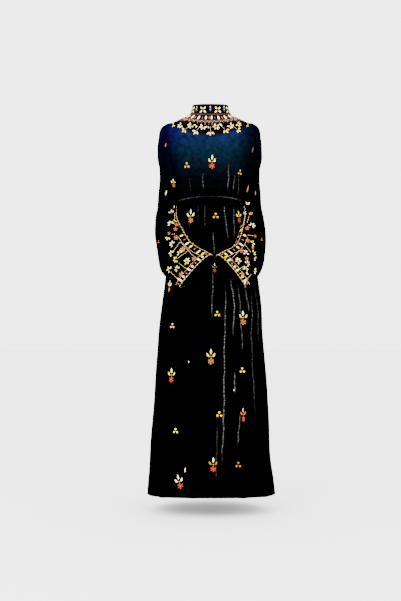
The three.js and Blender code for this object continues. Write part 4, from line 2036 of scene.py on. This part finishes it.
    def _bar(self, start: Pair, stop: Pair, index: int) -> None:
        """One bar of the ladder: a narrow rose leaf, a broad pale one or an ivory bar, in turn.

        Args:
            start: Row and column of its outer end.
            stop: Row and column of its inner end.
            index: Its number.
        """
        here, there = self.cloth.read(np.array([start[0], stop[0]]), np.array([start[1], stop[1]]))[0]
        length = float(np.linalg.norm(there - here)) / MM
        place = Place(self.cloth, start[0], start[1], (there - here) / (length * MM)).levelled()
        foot, shape, thread = (
            (0.2, (Outline.LEAF, length * 0.55, 4.6, 1.2), Thread.ROSE),
            (0.1, (Outline.LEAF, length * 0.8, 8.6, 1.7), Thread.PALE_GOLD),
            (0.0, (Outline.BAR, length, 5.8, 1.5), Thread.IVORY),
        )[index % 3]
        self.work.work(place.moved(0, length * foot) if foot else place, satin(*shape), thread)

    def _both(self, x: float, z: float, heading: float = 0.0) -> tuple[Place, Place]:
        """A place and the one that faces it on the sleeve's hidden side.

        Args:
            x: Millimetres from the centre line.
            z: Millimetres up.
            heading: Degrees clockwise from straight up.

        Returns:
            The two places.
        """
        seen = Place.seen(self.cloth, FRONT_VIEW, x, z, heading)
        column = self.cloth.points.shape[1] - seen.column - self.hidden_shift
        return seen, Place(self.cloth, seen.row, column, seen.up).levelled()

    def _garden(self) -> None:
        """Clusters, flowers and stems on the cuff, and the few motifs on the upper sleeve."""
        for x, z, count, size, heading in zip(*self.clusters.values()):
            for place in self._both(x, z, heading):
                self.work.cluster(place, int(count), size)
        for x, z, size, petal in zip(*self.flowers.values()):
            for place in self._both(x, z):
                self.work.flower(place, size, petal)
        for from_x, from_z, to_x, to_z in zip(*self.lines.values()):
            seen = zip(np.linspace(from_x, to_x, 5), np.linspace(from_z, to_z, 5))
            path = [self.cloth.find(FRONT_VIEW, x, z) for x, z in seen]
            order = [Thread.IVORY_BEAD, Thread.GOLD_BEAD, Thread.ROSE_BEAD]
            self.work.cord(path, self.cloth, self.stem_bead, order)
        for x, z, size, kind, thread in zip(*SLEEVE_SPRIGS.values()):
            for place in self._both(x, z) if x * self.hand > 0 else ():
                if kind == "sprig":
                    self.work.sprig(place, size, thread)
                elif kind == "leaf":
                    self.work.work(place.turned(12), satin(Outline.LEAF, 42 * size, 9 * size, 1.3), thread)
                else:
                    self.work.trefoil(place, size, thread)


@dataclass
class Collar:
    """The embroidered stand collar, open at the centre back."""

    rings: BodyForm
    height: float = 38.0
    rows: int = 20
    columns: int = 200
    units: int = 8  # repeats of its figure, from end to end
    bead: float = 2.2
    cloth: ClothSurface = field(init=False)

    def __post_init__(self) -> None:
        """Shapes the cloth."""
        z = np.linspace(self.height, SEAM, self.rows)
        rise = np.zeros((self.rows, self.columns))
        self.cloth = ClothSurface(round_body(self.rings, z, rise, self.columns, COLLAR_OPENING))

    def build(self, velvet: Material) -> None:
        """Makes the collar and its embroidery.

        Args:
            velvet: Its velvet.
        """
        obj = cloth_object("collar_band", self.cloth, velvet)
        settle(obj, ("collar",))
        work = Embroidery("collar_embroidery", seed=3)
        for row in (0.9, self.rows - 1.7):
            path = [(row, c) for c in np.linspace(3, self.columns - 4, 80)]
            work.cord(path, self.cloth, self.bead, [Thread.ROSE_BEAD, Thread.MAUVE, Thread.MAUVE])
        pitch = (self.columns - 1) / self.units
        for unit in range(self.units):
            self._unit(work, (unit + 0.5) * pitch, pitch)
        settle(work.build())

    def _unit(self, work: Embroidery, column: float, pitch: float) -> None:
        """Four leaves in a cross beside a stem of bugle beads on a blue leaf.

        Args:
            work: The collar's embroidery.
            column: Column of the cross.
            pitch: Columns from one cross to the next.
        """
        up = np.array([0.0, 0.0, 1.0])
        middle = Place(self.cloth, self.rows * 0.54, column, up).levelled()
        for heading in (-132, -40, 40, 132):
            work.leaf(middle.turned(heading).moved(0, 4.2), 13, 6.6)
        work.bead(middle, 3.0, Thread.MAUVE)
        stem_column = column + pitch / 2
        if stem_column < self.columns - 6:
            foot = Place(self.cloth, self.rows - 5.0, stem_column, up).levelled()
            work.work(foot.moved(0, 3), satin(Outline.BAR, 25, 13, 0.55), Thread.BLUE)
            work.work(foot, satin(Outline.BAR, 26, 1.8, 1.2), Thread.STEEL)
            for height in (9, 19):
                work.work(foot.moved(0, height), satin(Outline.LEAF, 6.5, 3.4, 1.4), Thread.IVORY)


# Beaded lines round the neck: their distances from its seam, between which they zigzag, the size of a bead
# and the threads in turn.
YOKE_RINGS = (
    ((2.4, 2.4), 2.2, (Thread.ROSE_BEAD, Thread.MAUVE)),
    ((31.0, 42.0), 2.3, (Thread.ROSE_BEAD, Thread.ROSE_BEAD, Thread.IVORY_BEAD)),
    ((42.0, 31.0), 2.3, (Thread.ROSE_BEAD, Thread.MAUVE)),
    ((30.0, 30.0), 2.0, (Thread.ROSE_BEAD,)),
)


@dataclass
class Yoke:
    """Radiating embroidery round the neck, over the three bodice panels."""

    bodice: Bodice
    bars: int = 46  # all the way round, every other one ivory
    bar_start: float = 6.0  # from the neck seam
    lower_start: float = 43.0  # from the neck seam to the small bars below them
    shoulder_start: float = 60.0  # from the neck seam to the clusters on the shoulders
    seam_keep: float = 0.012  # how far the beaded lines keep from a seam, in turns

    def _spot(self, turn: float, distance: float) -> Place:
        """The place at a turn round the neck and a distance from its seam, heading outwards.

        Args:
            turn: 0 at centre front, 1 at the wearer's left shoulder, 2 at centre back, -1 at the right.
            distance: Millimetres from the neck seam.

        Returns:
            The place.
        """
        turn = (turn + 2) % 4 - 2
        if abs(turn) <= 1:
            cloth, share = self.bodice.front, (turn + 1) / 2
        elif turn > 1:
            cloth, share = self.bodice.back_left, 2 - turn
        else:
            cloth, share = self.bodice.back_right, -1 - turn
        column = share * (cloth.points.shape[1] - 1)
        rows = np.linspace(0, 60, 300)
        run = run_along(cloth.read(rows, np.full_like(rows, column))[0])
        row = float(np.interp(distance, run, rows))
        here, there = cloth.read(np.array([row, row + 0.6]), np.array([column, column]))[0]
        way = (there - here) / np.linalg.norm(there - here)
        return Place(cloth, row, column, way).levelled()

    def build(self) -> None:
        """Makes the embroidery."""
        work = Embroidery("yoke_embroidery", seed=7)
        for distances, size, order in YOKE_RINGS:
            self._ring(work, distances, size, order)
        for i in range(self.bars):
            turn = 4 * (i + 0.5) / self.bars - 2
            spot = self._spot(turn, self.bar_start)
            if i % 2:
                work.work(spot, satin(Outline.LEAF, 22, 7.4, 1.5), Thread.IVORY)
            else:
                thread = Thread.ROSE if i % 4 else Thread.MAUVE
                work.work(spot.moved(0, 3), satin(Outline.LEAF, 17, 4.2, 1.1), thread)
            below = self._spot(turn, self.lower_start)
            work.work(below, satin(Outline.LEAF, 13, 3.4, 1.0), Thread.ROSE if i % 2 else Thread.MAUVE)
        for turn in (-1.09, -0.97, 0.97, 1.09):
            work.cluster(self._spot(turn, self.shoulder_start), 4, 14)
        for view, sprays in ((FRONT_VIEW, YOKE_SPRAYS), (BACK_VIEW, BACK_YOKE_SPRAYS)):
            for x, z, leaves, size in zip(*sprays.values()):
                self._spray(work, view, x, z, int(leaves), size)
            for x, z, size in zip(*YOKE_FLOWERS.values()):
                place = Place.seen(self.bodice.under(view.side, x), view, x, z)
                work.flower(place, size, Thread.CORAL)
        settle(work.build())

    def _ring(self, work: Embroidery, distances: Pair, size: float, order: Sequence[Thread]) -> None:
        """A beaded line round the neck, straight or zigzag.

        Args:
            work: The yoke's embroidery.
            distances: Millimetres from the neck seam, of every other point and of those between.
            size: Size of a bead.
            order: The threads that follow one another.
        """
        for start, stop in ((-2, -1), (-1, 1), (1, 2)):
            turns = np.linspace(start + self.seam_keep, stop - self.seam_keep, 20 * (stop - start) + 1)
            spots = [self._spot(float(turn), distances[i % 2]) for i, turn in enumerate(turns)]
            work.cord([(spot.row, spot.column) for spot in spots], spots[0].cloth, size, order)

    def _spray(self, work: Embroidery, view: Viewpoint, x: float, z: float, leaves: int, size: float) -> None:
        """Leaves that fan outwards, on a stem where there are three.

        Args:
            work: The yoke's embroidery.
            view: Where they are seen from.
            x: Millimetres from the centre line.
            z: Millimetres up.
            leaves: How many.
            size: From their middle to each tip.
        """
        neck = view.seen(np.array([0.0, view.side.value * 62.0, -8.0]) * MM) + np.array([0.0, 14.0])
        heading = math.degrees(math.atan2(x - neck[0], z - neck[1]))
        cloth = self.bodice.under(view.side, x)
        place = Place.seen(cloth, view, x, z, heading)
        if leaves == 3:
            stem = [place.moved(0, -distance) for distance in (24.0, 16.0, 8.0, 1.0)]
            work.cord([(s.row, s.column) for s in stem], cloth, 2.2, [Thread.IVORY_BEAD, Thread.ROSE_BEAD])
        work.cluster(place, leaves, size)


@dataclass
class Sash:
    """The self sash over the waist seam, in soft horizontal folds."""

    form: BodyForm
    rows: int = 30
    columns: int = 320
    shine_at: float = 0.46  # where across it a painted highlight runs; 0.5 is its upper edge
    shine_width: float = 0.05  # over what share of it
    cloth: ClothSurface = field(init=False)

    def __post_init__(self) -> None:
        """Shapes the cloth."""
        share = np.linspace(0.5, -0.5, self.rows)
        profile = smooth_curve(SASH_PROFILE["share"], SASH_PROFILE["rise"], share)
        turn = np.linspace(0, 2 * math.pi, self.columns, endpoint=False)[None, :]
        lay = share[:, None]
        wander = 0.5 * np.sin(3 * turn + 9 * lay) + 0.35 * np.sin(7 * turn - 14 * lay + 1)
        rise = SASH_EASE + SASH_CLOTH + profile[:, None] + wander * (1 - (2 * np.abs(lay)) ** 6)
        points = round_body(self.form, WAIST_Z + share * SASH_HEIGHT, rise, self.columns, 0.0)
        # Painted highlight along the sash's upper edge.
        along_edge = np.exp(-(((lay - self.shine_at) / self.shine_width) ** 2))
        self.cloth = ClothSurface(points, True, (0.14 + 0.1 * np.sin(5 * turn + 2.0)) * along_edge)

    def build(self, velvet: Material) -> None:
        """Makes the sash.

        Args:
            velvet: Its velvet.
        """
        obj = cloth_object("waist_sash", self.cloth, velvet, SASH_CLOTH)
        settle(obj, ("sash",))


@dataclass
class ScatteredMotifs:
    """Sprigs, trefoils and single leaves scattered over the bodice and the skirt."""

    bodice: Bodice
    skirt: Skirt

    def _spot(self, view: Viewpoint, x: float, z: float, tilt: float) -> Place:
        """A place on the panel that is seen there.

        Args:
            view: Where it is seen from.
            x: Millimetres from the centre line.
            z: Millimetres up.
            tilt: Degrees clockwise from straight up.

        Returns:
            The place.
        """
        part = self.bodice if z > WAIST_Z else self.skirt
        return Place.seen(part.under(view.side, x), view, x, z, tilt)

    def build(self) -> None:
        """Makes the motifs of the front and the back."""
        for name, view, sprigs, trefoils in (
            ("front_motifs", FRONT_VIEW, SPRIGS, TREFOILS),
            ("back_motifs", BACK_VIEW, BACK_SPRIGS, BACK_TREFOILS),
        ):
            work = Embroidery(name, seed=len(name))
            for x, z, size, tilt, flower, leaves in zip(*sprigs.values()):
                work.sprig(self._spot(view, x, z, tilt), size, flower, leaves)
            for x, z, size, tilt, thread in zip(*trefoils.values()):
                work.trefoil(self._spot(view, x, z, tilt), size, thread)
            for x, z, length in zip(*FLECKS.values()):
                # Behind, they are mirrored off their panel and so come to lie along the centre back seam.
                place = Place.seen(self.skirt.under(view.side, x), view, x * -view.side.value, z, 8.0)
                work.work(place, satin(Outline.LEAF, length, 5.0, 1.3), Thread.IVORY)
            settle(work.build())


@dataclass
class Closure:
    """The covered button and its rouleau loop at the back of the collar."""

    satin: str = "#0B0D13"
    weave_mm: float = 0.6  # coarser than the real 0.1 mm, so that it shows
    solids: tuple[str, ...] = ("collar_button", "button_loop")

    def dress(self) -> None:
        """Gives both a woven black satin, which is smoother than velvet and so takes a narrow highlight."""
        material = new_material("black_satin")
        place = add_node(material, "ShaderNodeTexCoord", {}).outputs["Object"]
        scale = 1 / (self.weave_mm * MM)
        weave = add_node(material, "ShaderNodeTexNoise", {"Vector": place, "Scale": scale, "Detail": 2.0})
        bump = add_node(
            material, "ShaderNodeBump", {"Height": weave.outputs["Fac"], "Strength": 0.3, "Distance": 0.0002}
        )
        shader = add_node(
            material,
            "ShaderNodeBsdfPrincipled",
            {
                "Base Color": rgba(self.satin),
                "Roughness": 0.38,
                "Sheen Weight": 0.15,
                "Normal": bump.outputs[0],
            },
        )
        add_node(material, "ShaderNodeOutputMaterial", {"Surface": shader.outputs[0]})
        for name in self.solids:
            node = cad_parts[name]
            node.data.materials.clear()
            node.data.materials.append(material)
            LOG.info("%s: dressed in black satin", name)


# ---- stage
@dataclass(frozen=True)
class Studio:
    """Pale floor, soft light and the camera, in metres but for the camera's own sizes."""

    pixels: tuple[int, int] = (401, 601)
    scale: float = 4.0  # millimetres a pixel at the origin's depth
    sensor: float = 24.0  # height in millimetres
    floor_z: float = -1.58
    floor_reach: float = 14.0
    surround: float = 4.6
    aim: tuple[float, float, float] = (0.0, 0.0, -0.6)  # where the lights point
    # Name, place, size and watts of each light.
    lights: tuple[tuple[str, tuple[float, float, float], float, float], ...] = (
        ("key", (-1.9, -2.9, 1.5), 2.2, 190.0),
        ("fill", (2.4, -2.6, 0.2), 2.6, 80.0),
    )

    def build(self) -> None:
        """Makes the stage."""
        self._camera()
        self._floor()
        self._lights()

    def _camera(self) -> None:
        """A level camera in front of the garment's middle."""
        data = bpy.data.cameras.new("camera")
        data.sensor_fit = "VERTICAL"
        data.sensor_height = self.sensor
        data.lens = self.sensor * FRONT_VIEW.distance / (self.pixels[1] * self.scale)
        data.clip_end = 50.0
        camera = bpy.data.objects.new("camera", data)
        camera.location = (FRONT_VIEW.x * MM, -FRONT_VIEW.distance * MM, FRONT_VIEW.z * MM)
        camera.rotation_euler = (math.pi / 2, 0.0, 0.0)
        bpy.context.scene.collection.objects.link(camera)
        bpy.context.scene.camera = camera

    def _floor(self) -> None:
        """A floor of matt white paint, which takes a soft shadow and no highlight."""
        material = new_material("matt_floor_paint")
        place = add_node(material, "ShaderNodeTexCoord", {}).outputs["Object"]
        grain = add_node(material, "ShaderNodeTexNoise", {"Vector": place, "Scale": 40.0})
        bump = add_node(material, "ShaderNodeBump", {"Height": grain.outputs["Fac"], "Strength": 0.03})
        shader = add_node(
            material,
            "ShaderNodeBsdfPrincipled",
            {"Base Color": rgba("#F1F1F1"), "Roughness": 0.9, "Normal": bump.outputs[0]},
        )
        add_node(material, "ShaderNodeOutputMaterial", {"Surface": shader.outputs[0]})
        sides = np.array([[-1, -1], [1, -1], [1, 1], [-1, 1]]) * self.floor_reach
        corners = np.column_stack([sides, np.full(4, self.floor_z)])
        floor = mesh_object("floor", corners, np.array([[0, 1, 2, 3]]), [material])

    def _lights(self) -> None:
        """A pale surround, a broad key and a broad fill."""
        world = bpy.data.worlds.new("surround")
        world.use_nodes = True
        background = world.node_tree.nodes["Background"]
        background.inputs["Color"].default_value = rgba("#FBFBFB")
        background.inputs["Strength"].default_value = self.surround
        bpy.context.scene.world = world
        for name, place, size, power in self.lights:
            data = bpy.data.lights.new(name, "AREA")
            data.size = size
            data.energy = power
            light = bpy.data.objects.new(name, data)
            light.location = place
            towards = np.array(self.aim) - np.array(place)
            level = math.atan2(towards[2], math.hypot(towards[0], towards[1]))
            heading = math.atan2(towards[1], towards[0])
            light.rotation_euler = (math.pi / 2 + level, 0.0, heading - math.pi / 2)
            bpy.context.scene.collection.objects.link(light)


def main() -> None:
    """Builds the stage and the garment, piece by piece."""
    logging.basicConfig(level=logging.INFO, format="%(message)s")
    Studio().build()
    THREADS.update({thread: finish.build(thread.value) for thread, finish in THREAD_FINISHES.items()})
    midnight, black = MIDNIGHT.build(), BLACK.build()
    form = BodyForm(BODY_RINGS)
    bodice, skirt = Bodice(form), Skirt(form)
    collar = Collar(BodyForm(COLLAR_RINGS))
    sash = Sash(form)
    collar.build(midnight)
    bodice.build(midnight)
    sash.build(black)
    skirt.build(black)
    Sleeve(form, -1, RIGHT_CUFF_CLUSTERS, RIGHT_CUFF_FLOWERS, RIGHT_CUFF_LINES).build(midnight)
    Sleeve(form, 1, LEFT_CUFF_CLUSTERS, LEFT_CUFF_FLOWERS, LEFT_CUFF_LINES).build(midnight)
    Yoke(bodice).build()
    ScatteredMotifs(bodice, skirt).build()
    Closure().dress()


if __name__ == "__main__":
    main()
